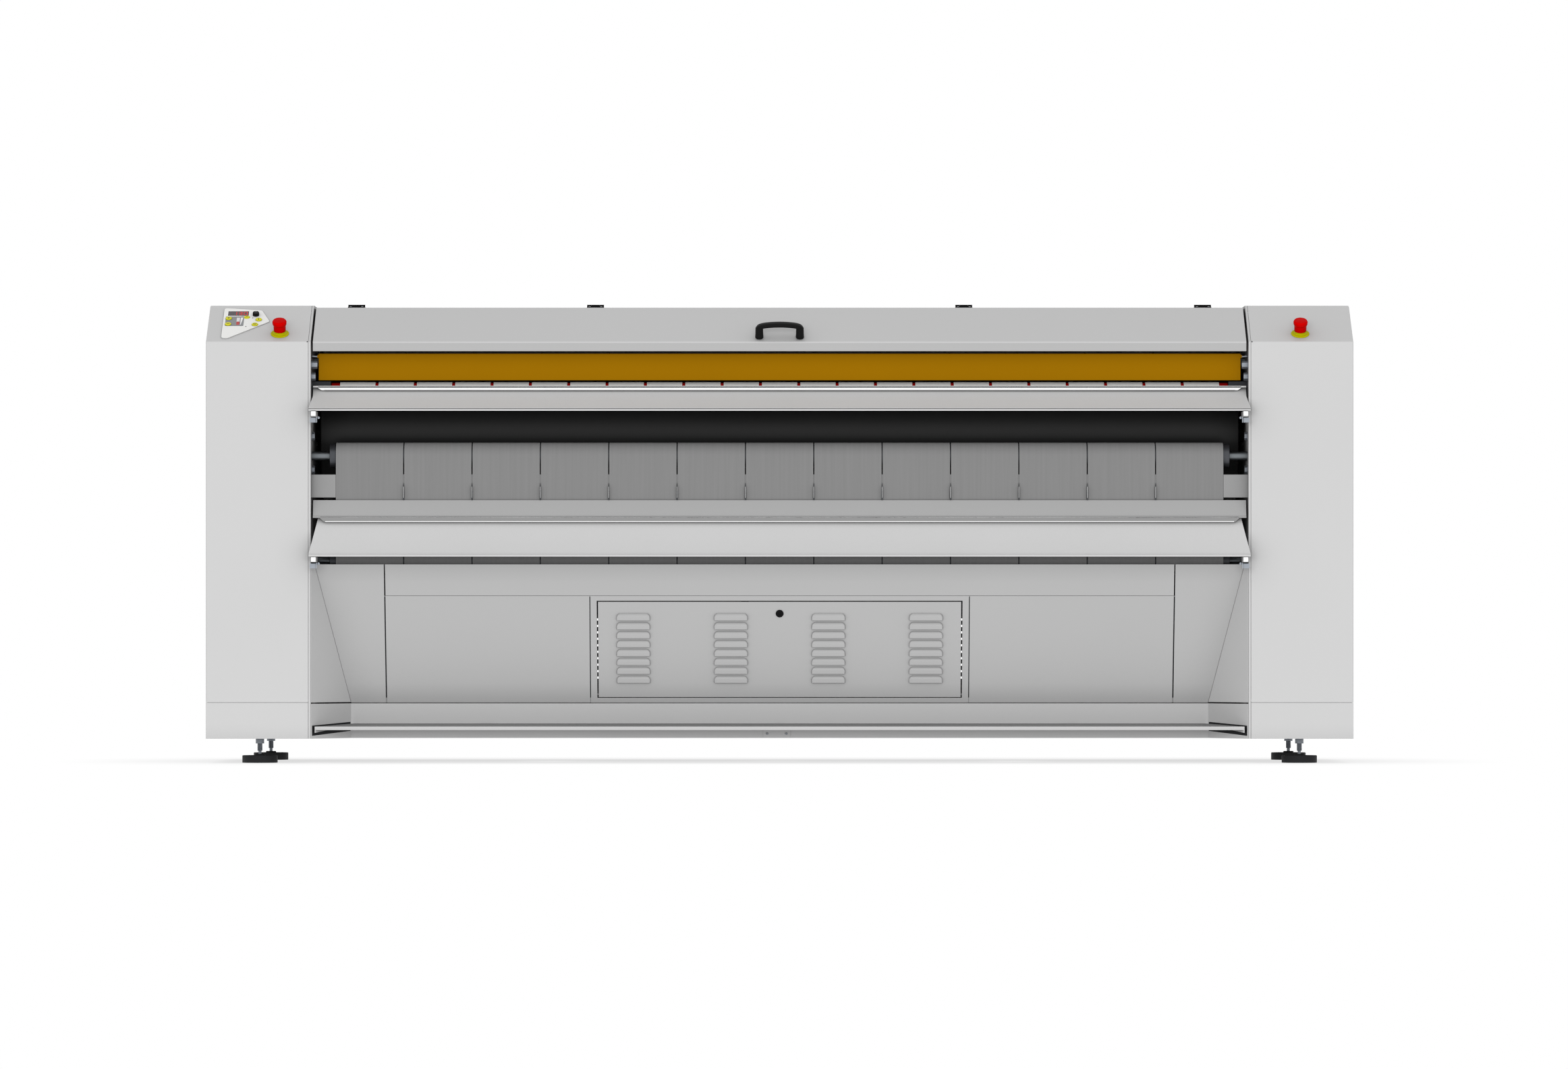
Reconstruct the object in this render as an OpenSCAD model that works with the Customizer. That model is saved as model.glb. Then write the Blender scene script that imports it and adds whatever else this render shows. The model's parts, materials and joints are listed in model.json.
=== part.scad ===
// Flatwork ironer: a heated cylinder between two columns, wrapped by a set of ironing belts.
// Linen goes in over the feed belts at the top and comes back over the return table at the front.
// Millimetres, +Z up, +X to the right of someone at the tables, -Y towards that person.
// The origin is on the floor, at the centre of the whole machine's box.

/* [Casing] */
// Width of the ironing face of the heated cylinder
work_w = 2500; // [1600:50:3200]
// Room between a column and each end of the ironing face
end_gap = 20; // [18:1:40]
// Width of each column, with its side frame
column_w = 284; // [260:1:360]
// Depth of each column
column_d = 650; // [645:5:760]
// Height of the flat top of the columns
top_z = 1245; // [1240:1:1320]
// Underside of the casing above the floor
casing_z = 66; // [60:1:90]
// Height of the seam between the plinth covers and the column covers
plinth_z = 164; // [158:1:180]
// Depth of the sloping part of the top
slope_d = 180; // [150:5:185]
// Fall of the sloping part of the top
slope_h = 104; // [80:1:110]
// Thickness of the side frame plates
frame_t = 6; // [5:0.5:10]
// Thickness of the folded cover sheets
cover_t = 1.5; // [1:0.1:2.5]
// Gap in the seams between covers
seam = 0.8; // [0.5:0.1:2]
// Diameter of the exhaust spigot
spigot_dia = 120; // [100:5:140]
// Length of the exhaust spigot behind the columns
spigot_l = 60; // [40:5:100]
// Bore of the cable gland
gland_bore = 26; // [16:1:32]

/* [Hood and finger guard] */
// Gap between the hood and each side frame
hood_gap = 6; // [4:0.5:12]
// Thickness of the hood sheet
hood_t = 2; // [1.5:0.1:3]
// Depth from the front of the hood to its hinges
hood_d = 250; // [200:5:300]
// Height of the upright lip at the front of the hood
hood_lip = 26; // [15:1:27]
// Drop of the hood below the column tops
hood_drop = 5.6; // [3:0.1:8]
// Width of a hood hinge
hinge_w = 46; // [36:2:60]
// Depth of each hinge leaf
hinge_leaf = 24; // [18:1:32]
// Radius of the hinge knuckles
hinge_r = 5.5; // [5:0.1:7]
// Radius of the hinge pins
hinge_pin_r = 2.5; // [1.5:0.1:2.8]
// Width of the hood handle, over its legs
handle_w = 133; // [100:1:180]
// Width of a leg of the handle
handle_leg = 23; // [16:1:28]
// Height of the handle above the hood
handle_h = 47; // [36:1:60]
// Thickness of the handle's grip
handle_t = 17; // [12:1:20]
// Height of the finger guard
guard_h = 73; // [50:1:74]
// Thickness of the finger guard
guard_t = 4; // [3:0.5:6]
// Gap between the infeed table and the finger guard
infeed_gap = 15; // [13:0.5:16]

/* [Tables] */
// Depth of the infeed table below the top of the casing
infeed_drop = 223; // [220:1:227]
// Height of the infeed table's apron
infeed_h = 70; // [60:1:80]
// Depth of the return table's rear edge below the top of the casing
return_drop = 533; // [529:1:545]
// Height of the rear edge of the return table's slide above its lip
slide_h = 44; // [30:1:50]
// Height of the return table's apron with its lip
apron_h = 110; // [90:1:116]
// Reach of both tables in front of the columns
table_reach = 60; // [45:1:75]
// Thickness of the table sheets
table_t = 2; // [1.5:0.1:3]
// Height of the lip along the top of each apron
lip_h = 12; // [8:0.5:14]
// Gap between a table and each side frame
table_gap = 6; // [5:0.5:10]
// Width that each lower corner of the aprons gains
flare = 8.5; // [4:0.5:10]
// Width that each upper corner of the return table's apron loses
corner_cut = 14; // [8:1:20]
// Radius of the rolled lower edge of the aprons
roll_r = 4.5; // [3:0.5:6]
// Side of the square table arms
arm_w = 14; // [12:1:16]
// Thickness of the stripper fingers
finger_t = 5; // [3:0.5:6]

/* [Cylinder and rollers] */
// Radius of the heated cylinder
cyl_r = 175; // [165:1:180]
// Wall of the heated cylinder
cyl_wall = 8; // [6:0.5:12]
// Radius of the cylinder's hollow journals
journal_r = 30; // [28:1:34]
// Wall of the hollow journals
journal_wall = 8; // [6:0.5:9]
// Depth of the cylinder's axis below the top of the casing
cyl_drop = 340; // [335:1:345]
// Depth of the cylinder's axis behind the column fronts
cyl_d = 300; // [296:1:306]
// Radius of the belt rollers
roller_r = 32.5; // [28:0.5:35]
// Radius of the top nip roller
nip_r = 25; // [20:0.5:27]
// Radius of the roller shafts
shaft_r = 12; // [9:0.5:13]
// Overlap of each belt roller past the outer belts
roller_over = 17; // [8:1:24]
// Radius of the red feed roller
feed_r = 28; // [24:0.5:29]
// Radius of the feed idler
idler_r = 14; // [12:0.5:15]
// Radial running clearance of shafts and pins
run_gap = 0.05; // [0.02:0.01:0.09]
// Clearance of the belts from what they run on
belt_gap = 0.3; // [0.2:0.1:0.6]

/* [Belts] */
// Number of ironing belts
iron_belts = 13; // [8:1:16]
// Seam between two ironing belts
iron_seam = 3; // [2:0.5:6]
// Thickness of the ironing belts
iron_t = 3; // [2:0.5:4]
// Width of the whole set of ironing belts, less than the ironing face
iron_margin = 47; // [42:1:60]
// Number of feed belts
feed_belts_n = 23; // [12:1:28]
// Gap between two feed belts
feed_seam = 8.3; // [5:0.1:12]
// Thickness of the feed belts
feed_t = 2; // [1.5:0.1:3]
// Room between the outer feed belt and the end of the ironing face
feed_margin = 57; // [50:1:80]

/* [Front body and door] */
// Depth of the lower body's top edge below the top of the casing
body_drop = 707; // [705:1:725]
// Depth of the toe recess behind the column fronts
toe_d = 142; // [120:1:150]
// Depth of the lower body's top edge behind the column fronts
body_d = 12; // [10:0.5:14]
// Width that the toe recess loses at each end
splay_w = 101; // [80:1:115]
// Width of the door opening
door_w = 993; // [700:1:1000]
// Distance from the door's top edge to the body's, along the slope
door_drop = 107.84; // [106.84:1:112.84]
// Distance from the foot of the slope to the door's lower edge
sill_u = 15; // [14:0.5:16]
// Gap round the door
door_gap = 3.6; // [3:0.1:5]
// Gap under the door
door_sill = 2.2; // [2:0.1:3]
// Depth of the door's folded sides
door_fold = 12; // [12:0.5:16]
// Number of louvre columns
louvre_cols = 4; // [2:1:4]
// Largest number of louvres in a column
louvre_rows = 8; // [4:1:8]
// Width of a louvre
louvre_w = 93; // [60:1:110]
// Spacing of the louvre columns
louvre_step_x = 265; // [180:1:280]
// Spacing of the louvres along the door
louvre_step = 25.7; // [24:0.1:27]
// Height of a louvre
louvre_h = 19; // [12:0.5:19]
// Depth that a louvre stands out
louvre_d = 6; // [4:0.5:8]
// Radius of the lock in the door
lock_r = 10.5; // [8:0.5:12]

/* [Treadle] */
// Height of the treadle's nose above the floor
treadle_z = 98.7; // [94:0.1:104]
// Height of the treadle's nose
nose_h = 9.3; // [7:0.1:12]
// Rise of the treadle from its nose to the back
treadle_rise = 7; // [4:0.5:9]
// Thickness of the treadle sheet
treadle_t = 2; // [1.5:0.1:3]
// Gap between the treadle and the walls of the toe recess
treadle_gap = 9; // [6:0.5:14]
// Number of treadle arms and return springs
arm_n = 3; // [2:1:5]
// Width of the small plate under the treadle
tag_w = 74; // [50:1:100]

/* [Feet] */
// Diameter of a foot pad
pad_dia = 96; // [80:1:110]
// Height of a foot pad's rim
pad_rim = 20; // [14:1:22]
// Diameter of a foot's screw
stem_dia = 14; // [12:1:16]
// Width of the hexagon nut, across its corners
nut_dia = 23; // [20:1:28]
// Height of the nut
nut_h = 14; // [10:1:15]
// Depth of the front feet behind the column fronts
foot_front = 78; // [70:1:100]
// Depth of the rear feet ahead of the rear face
foot_back = 84; // [80:1:110]

/* [Controls] */
// Diameter of the hole for an emergency stop
estop_hole = 22.4; // [20:0.1:24]
// Diameter of the yellow collar
collar_dia = 50; // [44:1:60]
// Diameter of the red cap
cap_dia = 39; // [34:1:44]
// Diameter of the neck of the red cap
cap_neck = 31; // [26:1:33]
// Travel of the emergency stops
estop_travel = 4; // [2:0.5:5]
// Diameter of the control knob
knob_dia = 18; // [14:1:20]
// Travel of the keys
key_travel = 1; // [0.5:0.1:1.4]

/* [Hidden] */
$fn = 64;
over = 1;                 // overrun of a cut
touch = 0.3;              // gap between moving or curved neighbours
in_x = work_w / 2 + end_gap;              // inner face of a side frame
frame_x = in_x + frame_t;                 // outer face of a side frame
out_x = in_x + column_w;                  // outer face of a column
total_d = table_reach + column_d + spigot_l;
y_front = table_reach - total_d / 2;      // front plane of the columns
bend_z = top_z - slope_h;
slope_a = atan2(slope_h, slope_d);
infeed_z = top_z - infeed_drop;
cyl_z = top_z - cyl_drop;
return_z = top_z - return_drop;
body_z = top_z - body_drop;
cyl_c = [cyl_d, cyl_z];
bearing_w = 34;            // length of a bearing unit
sprocket_w = 8;            // width of the sprockets
feed_shaft_r = shaft_r * 0.75;
foot_d = [foot_front, column_d - foot_back];
foot_x = (in_x + out_x) / 2;
fulcrum_in = 50;           // depth of the treadle's shaft behind the toe recess
fulcrum = [toe_d + fulcrum_in, treadle_z + 1];
fulcrum_r = 8;

// Places in the side view are [depth behind the column fronts, height]
function yz(p) = [y_front + p[0], p[1]];
function side(points) = [for (p = points) yz(p)];
function unit(a) = [cos(a), sin(a)];
function left_of(u) = [-u[1], u[0]];
function heading(p, q) = (q - p) / norm(q - p);
// Normal of a sheet's path at point i, stretched so that the sheet keeps its thickness at a bend
function mitre(p, i) =
    let(n = len(p) - 1,
        a = left_of(heading(p[max(i - 1, 0)], p[max(i - 1, 0) + 1])),
        b = left_of(heading(p[min(i, n - 1)], p[min(i, n - 1) + 1])))
    (a + b) / (1 + a * b);
// Outline of a bent sheet: the path and its copy, t to the left of it
function sheet(p, t) = concat(p,
    [for (i = [len(p) - 1:-1:0]) p[i] + t * mitre(p, i)]);

module along_x(x0, x1) {
    translate([x0, 0, 0]) rotate([90, 0, 90]) linear_extrude(x1 - x0) children();
}
module profile(points, x0, x1) {
    along_x(x0, x1) polygon(side(points));
}
module bent(points, t, x0, x1) {
    profile(sheet(points, t), x0, x1);
}
module rod(p, r, x0, x1, sides = 64) {
    translate([x0, y_front + p[0], p[1]]) rotate([0, 90, 0]) cylinder(h = x1 - x0, r = r, $fn = sides);
}
module ring(p, r, hole, x0, x1) {
    difference() {
        rod(p, r, x0, x1);
        rod(p, hole, x0 - over, x1 + over);
    }
}
// A box from one corner to the other, the second number being depth behind the column fronts
module block(low, high) {
    translate([low[0], y_front + low[1], low[2]]) cube(high - low);
}
module post(x, d, z0, z1, r, sides = 64) {
    translate([x, y_front + d, z0]) cylinder(h = z1 - z0, r = r, $fn = sides);
}
module both_sides() {
    children();
    mirror([1, 0, 0]) children();
}
// Puts children in a plane: x across, y up the slope, z out of it, from a point of the side view
module on_slope(p, angle) {
    translate([0, y_front + p[0], p[1]]) rotate([angle, 0, 0]) children();
}

// Rollers and belt routes, in the side view
front_c = [roller_r + iron_t + belt_gap + body_d + frame_t * 2, cyl_z - 72 * cyl_r / 175];
lower_c = [front_c[0], body_z + 10 * roller_r / 32.5];
rear_c = [column_d - 75 * roller_r / 32.5, lower_c[1]];
top_rear_c = [rear_c[0], cyl_z + 180 * cyl_r / 175];
nip_c = [cyl_d - 110 * cyl_r / 175, cyl_z + 185 * cyl_r / 175];
feed_top = infeed_z + 12 * feed_r / 28;                      // upper run of the feed belts
feed_c = [2 * feed_r + 19 * feed_t / 2, feed_top - feed_t - belt_gap - feed_r];
idler_c = [cyl_d - 162 * cyl_r / 175, feed_top - feed_t - belt_gap - idler_r];
roller_x = work_w / 2 - iron_margin + roller_over;
pulleys = [front_c, lower_c, rear_c, top_rear_c, nip_c, cyl_c];
// Belt route radii at a distance e outside the rollers; the cylinder presses in from outside
function radii(e) = [roller_r + e, roller_r + e, roller_r + e, roller_r + e, nip_r + e,
    -(cyl_r + iron_t + 2 * belt_gap - e)];
function run_angle(a, b, ra, rb) =
    atan2(b[1] - a[1], b[0] - a[0]) - asin((rb - ra) / norm(b - a));
flat_sag = touch / 2;      // depth of each flat on a belt's curves
function flat_angle(r) = 2 * acos(1 - flat_sag / abs(r));
function loop_points(c, r) = [for (i = [0:len(c) - 1]) let(
        h = (i + len(c) - 1) % len(c), j = (i + 1) % len(c), s = sign(r[i]),
        a = run_angle(c[h], c[i], r[h], r[i]), b = run_angle(c[i], c[j], r[i], r[j]),
        turn = s * ((s * (b - a) + 720) % 360), n = ceil(abs(turn) / flat_angle(r[i])))
    for (k = [0:n]) c[i] - r[i] * left_of(unit(a + turn * k / n))];
// The area that a belt route encloses
module inside(c, r) {
    polygon(side(loop_points(c, r)));
}

// Sloping lower body: u runs up the slope from its foot
foot_p = [toe_d, plinth_z - 2];
head_p = [body_d, body_z];
body_a = atan2(head_p[1] - foot_p[1], head_p[0] - foot_p[0]);
body_len = norm(head_p - foot_p);
door_h = body_len - sill_u - door_drop;    // height of the door, along the sloping body
function splay_at(d) = in_x - cover_t - splay_w * d / toe_d;
function body_at(u) = foot_p + u * unit(body_a);

// Levels of the tables' aprons
infeed_low = infeed_z - infeed_h;
return_lip = return_z - slide_h;
return_low = return_lip - apron_h;
roll_c = [-table_reach + roll_r, infeed_low + roll_r];
return_roll_c = [-table_reach + roll_r, return_low + roll_r];
table_x = in_x - table_gap;
belt_face = front_c[0] - roller_r - belt_gap - iron_t;
guard_d = 36 * feed_r / 28;
guard_z = infeed_z + infeed_gap;
guard_x = work_w / 2;
pivot_p = [guard_d + guard_t / 2, guard_z + guard_h - guard_t * 2];
pivot_r = guard_t;

// Hood outline and hinges
hood_p = [2, bend_z - hood_lip];
hood_top = top_z - hood_drop;
hood_knee = [2 + (hood_top - bend_z) / tan(slope_a), hood_top];
hinge_c = [hood_d + seam, hood_top + hinge_r];
hinge_shares = [-0.4631, -0.2016, 0.2016, 0.4631];
hood_x = in_x - hood_gap;

// Side view of a column, in from its outline by g
function column_outline(g) = let(k = g * tan(slope_a / 2), s = g * tan((90 - slope_a) / 2)) [
    [g, casing_z], [g, bend_z - s], [slope_d + k, top_z - g],
    [column_d - g, top_z - g], [column_d - g, casing_z]];
wrap = column_outline(0);

// Steel plates that carry the cylinder, all rollers and the covers
module side_frames() {
    color("gainsboro") both_sides() difference() {
        union() {
            profile(wrap, in_x, frame_x);
            block([in_x, 2 * cover_t, casing_z],
                [out_x - 2 * cover_t, column_d - 2 * cover_t, casing_z + frame_t]);
        }
        rod(cyl_c, journal_r + 2 * frame_t, in_x - over, frame_x + over);
        for (c = [front_c, lower_c, rear_c, top_rear_c, nip_c])
            rod(c, shaft_r + touch, in_x - over, frame_x + over);
        for (c = [feed_c, idler_c])
            rod(c, feed_shaft_r + touch, in_x - over, frame_x + over);
        rod(pivot_p, pivot_r + run_gap, in_x - over, frame_x + over);
        rod(fan_c, fan_eye, in_x - over, frame_x + over);
        for (d = foot_d) post(foot_x, d, casing_z - over, casing_z + frame_t + over, stem_dia / 2 + touch);
        rod(fulcrum, fulcrum_r + touch, in_x - over, frame_x + over);
    }
}

// Tubes and pans that tie the two side frames together
tie_w = 60;
tie_h = 40;
tie_wall = 3;
low_tie_d = toe_d + tie_w * 1.6;
module tie(d, z) {
    difference() {
        block([-in_x, d, z], [in_x, d + tie_h, z + tie_w]);
        block([-in_x - over, d + tie_wall, z + tie_wall],
            [in_x + over, d + tie_h - tie_wall, z + tie_w - tie_wall]);
    }
}
module base_frame() {
    color("dimgray") {
        tie(low_tie_d, casing_z);
        for (x = arm_xs) block([x - arm_w2 / 2, fulcrum[0] + spring_back - 2 * spring_r, casing_z],
            [x + arm_w2 / 2, low_tie_d, casing_z + lug_t]);
        tie(column_d - tie_h - cover_t - seam, casing_z);
        tie(column_d - tie_h - cover_t - seam, rear_c[1] - tie_w * 2.4);
        tie(column_d - tie_h - cover_t - seam, top_z - hood_drop - hood_t - tie_w);
        difference() {
            block([-in_x, low_tie_d + tie_h, casing_z],
                [in_x, column_d - tie_h - cover_t - seam, casing_z + tie_wall]);
            for (x = [-in_x / 2, 0, in_x / 2])
                post(x, column_d / 2, casing_z - over, casing_z + tie_wall + over, tie_w);
        }
    }
}

// Fixed sheet behind the hood, which carries the hinges
module top_cover() {
    color("gainsboro") block([-in_x, hood_d + 2 * seam, hood_top - hood_t],
        [in_x, column_d, hood_top]);
}

// Wrap of one column: front, sloping top, flat top and outer side, open to the rear and inside
module column_shell() {
    difference() {
        intersection() {
            profile(wrap, frame_x + seam, out_x);
            block([frame_x, 0, plinth_z + seam / 2], [out_x, column_d, top_z]);
        }
        profile(concat([[cover_t, casing_z - over]],
            [for (i = [1:2]) column_outline(cover_t)[i]],
            [[column_d + over, top_z - cover_t], [column_d + over, casing_z - over]]),
            frame_x, out_x - cover_t);
    }
}
module estop_place(x) {
    on_slope([estop_s * cos(slope_a), bend_z + estop_s * sin(slope_a)], slope_a)
        translate([x, 0, 0]) children();
}
module left_cover() {
    color("gainsboro") difference() {
        mirror([1, 0, 0]) column_shell();
        estop_place(estop_x) cylinder(h = 4 * cover_t, d = estop_hole, center = true);
        on_slope(panel_p, slope_a) translate([panel_x, 0, -2 * cover_t])
            linear_extrude(4 * cover_t) polygon(window);
    }
}
module right_cover() {
    color("gainsboro") difference() {
        column_shell();
        estop_place(right_estop_x) cylinder(h = 4 * cover_t, d = estop_hole, center = true);
    }
}

// Covers round the foot of each column
module plinth_covers() {
    color("gainsboro") both_sides() difference() {
        block([frame_x + seam, 0, casing_z], [out_x, column_d, plinth_z - seam / 2]);
        block([frame_x - over, cover_t, casing_z - over],
            [out_x - cover_t, column_d - cover_t, plinth_z + over]);
    }
}

// Rear sheet between the columns with two fields of cooling slots, and the columns' service panels
rear_slots = 10;
slot_h = 6;
slot_w = 420;
fan_c = [column_d - spigot_dia * 2.1, top_z - spigot_dia * 1.08];
fan_eye = spigot_dia * 0.42;
fan_w = spigot_dia * 0.9;
fan_x = frame_x + bearing_w + spigot_dia / 2 + 8;
out_z = fan_c[1] - spigot_dia * 0.1;
gland_z = plinth_z + 2 * tie_w;
gland_x = -(frame_x + out_x) / 2;
gland_r = gland_bore / 2 + 5 * gland_bore / 26;
module rear_covers() {
    color("gainsboro") difference() {
        union() {
            block([-in_x, column_d - cover_t, casing_z],
                [in_x, column_d, top_z - hood_drop - hood_t - seam]);
            both_sides() block([frame_x + seam, column_d - cover_t, plinth_z + seam / 2],
                [out_x - cover_t - seam, column_d, top_z - cover_t - seam]);
        }
        for (x = [-in_x / 2, in_x / 2]) for (i = [0:rear_slots - 1])
            block([x - slot_w / 2, column_d - cover_t - over, plinth_z + tie_w + i * slot_h * 3],
                [x + slot_w / 2, column_d + over, plinth_z + tie_w + i * slot_h * 3 + slot_h]);
        translate([fan_x, y_front + column_d, out_z]) rotate([90, 0, 0])
            cylinder(h = 4 * cover_t, r = spigot_dia / 2 + touch, center = true);
        translate([gland_x, y_front + column_d, gland_z]) rotate([90, 0, 0])
            cylinder(h = 4 * cover_t, r = gland_r, center = true);
    }
}

// Hood: one bent sheet with a closed gusset at each end
module hood() {
    path = [hood_p, [2, bend_z], hood_knee, [hood_d, hood_top]];
    ends = concat(path, [[hood_d, hood_top - 3 * hinge_r]]);
    color("gainsboro") difference() {
        union() {
            bent([for (i = [3:-1:0]) path[i]], hood_t, -hood_x, hood_x);
            both_sides() profile(ends, hood_x - hood_t, hood_x);
        }
        for (s = [-1, 1]) handle_place() translate([s * handle_step / 2, 0, 0])
            cylinder(h = 4 * hood_t, r = handle_screw, center = true);
    }
}
handle_step = handle_w - handle_leg;
handle_s = 22;
handle_screw = handle_leg / 8;
module handle_place() {
    on_slope([2, bend_z], slope_a) translate([0, handle_s, 0]) children();
}
// Bow handle, two legs and a grip, screwed on from inside
module hood_handle() {
    color("black") handle_place() {
        difference() {
            union() {
                translate([-handle_w / 2, -handle_leg / 2, 0]) cube([handle_leg, handle_leg, handle_h]);
                translate([handle_w / 2 - handle_leg, -handle_leg / 2, 0])
                    cube([handle_leg, handle_leg, handle_h]);
                translate([-handle_w / 2, -handle_leg / 2, handle_h - handle_t])
                    cube([handle_w, handle_leg, handle_t]);
            }
            for (s = [-1, 1]) translate([s * handle_w / 2, 0, handle_h]) rotate([0, s * 45, 0])
                cube([handle_t / 2, 2 * handle_leg, handle_t], center = true);
        }
        for (s = [-1, 1]) translate([s * handle_step / 2, 0, -2 * hood_t])
            cylinder(h = 2 * hood_t, r = handle_screw - touch);
    }
}

// Four hinges: the middle knuckle turns with the hood on a pin in the outer two
knuckle = hinge_w / 2;
module hinge_leaf_at(x, w, d0, d1) {
    block([x - w / 2, d0, hood_top], [x + w / 2, d1, hood_top + hinge_r * 0.8]);
}
module hood_hinge_leaves() {
    color("black") for (s = hinge_shares) {
        x = s * work_w;
        difference() {
            union() {
                rod(hinge_c, hinge_r, x - knuckle / 2, x + knuckle / 2);
                hinge_leaf_at(x, knuckle, hinge_c[0] - hinge_r, hinge_c[0]);
                hinge_leaf_at(x, hinge_w, hood_d - hinge_leaf, hinge_c[0] - hinge_r - touch);
                hinge_leaf_at(x, knuckle, hood_d - hinge_leaf, hinge_c[0] - hinge_r + over);
            }
            rod(hinge_c, hinge_pin_r + run_gap, x - hinge_w, x + hinge_w);
        }
    }
}
module fixed_hinge_leaves() {
    color("black") for (s = hinge_shares) {
        x = s * work_w;
        rod(hinge_c, hinge_pin_r, x - hinge_w / 2, x + hinge_w / 2);
        for (e = [-1, 1]) {
            rod(hinge_c, hinge_r, x + min(e * (knuckle / 2 + touch), e * hinge_w / 2),
                x + max(e * (knuckle / 2 + touch), e * hinge_w / 2));
            hinge_leaf_at(x + e * (hinge_w + knuckle + 2 * touch) / 4,
                (hinge_w - knuckle - 2 * touch) / 2, hinge_c[0] + over, hinge_c[0] + hinge_r + over);
        }
        hinge_leaf_at(x, hinge_w, hinge_c[0] + hinge_r + touch, hinge_c[0] + hinge_leaf);
    }
}

// Amber flap hung on a stub pin at each end
module finger_guard() {
    color("darkgoldenrod") {
        block([-guard_x, guard_d, guard_z], [guard_x, guard_d + guard_t, guard_z + guard_h]);
        both_sides() {
            block([guard_x, guard_d, pivot_p[1] - pivot_r], [guard_x + pivot_r, guard_d + guard_t,
                pivot_p[1] + pivot_r]);
            rod(pivot_p, pivot_r * 0.9, guard_x + pivot_r, frame_x, 48);
        }
    }
}

// Concave apron of a table, from its lip down to its rolled edge
apron_steps = 8;
function apron(top, low, bow) = [for (i = [0:apron_steps]) let(k = i / apron_steps)
    [top[0] + (low[0] - top[0]) * (k - bow * k * (1 - k)), top[1] + (low[1] - top[1]) * k]];
// Front view of half a table: narrow between the columns, wider below
module table_blank(half_top, z_top, half_low, z_bend, z_low) {
    translate([0, y_front + column_d / 2, 0]) rotate([90, 0, 0]) linear_extrude(column_d)
        polygon([[-half_top, z_top], [half_top, z_top], [half_top, z_bend], [half_low, z_low],
            [half_low, z_low - infeed_h], [-half_low, z_low - infeed_h], [-half_low, z_low],
            [-half_top, z_bend]]);
}
lip_d = 14 * feed_r / 28;
module table_lip(top, half) {
    along_x(-half + lip_h, half - lip_h)
        polygon(side([top, top + [0, -lip_h], top + [lip_h / 4, -lip_h], top + [lip_h / 4, 0]]));
}
module infeed_table() {
    tail = [feed_c[0] - feed_r - 2 * feed_t - touch, infeed_z];
    lip = [lip_d, infeed_z];
    color("gainsboro") intersection() {
        union() {
            bent(concat([tail, lip + [lip_h / 4, 0]],
                apron(lip + [lip_h / 4, -table_t], roll_c + [-roll_r + table_t / 2, 0], 0.35)),
                table_t, -in_x - flare, in_x + flare);
            table_lip(lip, table_x);
            rod(roll_c, roll_r, -in_x - flare, in_x + flare, 32);
        }
        table_blank(table_x, infeed_z + over, table_x + flare, infeed_z - infeed_h * 0.42,
            infeed_low + infeed_h * 0.14);
    }
}
module return_table() {
    tail = [belt_face - touch - table_t - over, return_z];
    lip = [lip_d / 8, return_lip];
    color("gainsboro") {
        bent([tail, lip + [lip_h / 4, 0]], table_t, -table_x, table_x);
        intersection() {
            union() {
                bent(apron(lip + [lip_h / 4, 0], return_roll_c + [-roll_r + table_t / 2, 0], 0.2),
                    table_t, -in_x - flare, in_x + flare);
                table_lip(lip, table_x - corner_cut);
                rod(return_roll_c, roll_r, -in_x - flare, in_x + flare, 32);
            }
            table_blank(table_x - corner_cut, return_lip + over, table_x + flare, return_lip - table_t,
                return_low + 2 * roll_r);
        }
    }
}

// Square tubes that carry the tables' aprons, bolted to the side frames
arm_x = in_x - arm_w / 4;
arm_front = roll_r - table_reach;
arm_back = front_c[0] - 2 * shaft_r;
arm_wall = 2;
module arm(z) {
    difference() {
        block([arm_x - arm_w, arm_front, z - arm_w], [arm_x, arm_back, z]);
        block([arm_x - arm_w + arm_wall, arm_front + arm_wall, z - arm_w + arm_wall],
            [arm_x - arm_wall, arm_back + over, z - arm_wall]);
    }
    block([arm_x, arm_back - 2 * arm_w, z - arm_w], [in_x, arm_back, z]);
}
module table_arms() {
    color("white") both_sides() {
        arm(infeed_low - touch / 3);
        arm(return_low - touch / 3);
    }
}

// Sheets that close the return chute between the belts and the side frames
guide_h = 62;
module side_guides() {
    color("gainsboro") both_sides() difference() {
        block([roller_x - roller_over + touch, belt_face, return_z + infeed_gap / 2],
            [in_x, belt_face + roller_r / 2, return_z + infeed_gap / 2 + guide_h]);
        block([roller_x - roller_over - over, belt_face + cover_t, return_z],
            [in_x - cover_t, belt_face + roller_r, return_z + infeed_gap / 2 + guide_h - cover_t]);
    }
}

// Pointed fingers on the return table's edge that lift the linen off the belts at each seam
finger_h = 50;
iron_pitch = 2 * (roller_x - roller_over + iron_seam / 2) / iron_belts;
module stripper_fingers() {
    tip = [belt_face - touch * 2, return_z + finger_h - table_t];
    root = [belt_face - touch * 2, return_z];
    color("gray") for (i = [1:iron_belts - 1]) {
        x = (i - iron_belts / 2) * iron_pitch;
        profile([tip, tip - [table_t / 2, 0], root - [finger_t + over, 0], root],
            x - finger_t / 2, x + finger_t / 2);
    }
}

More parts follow.
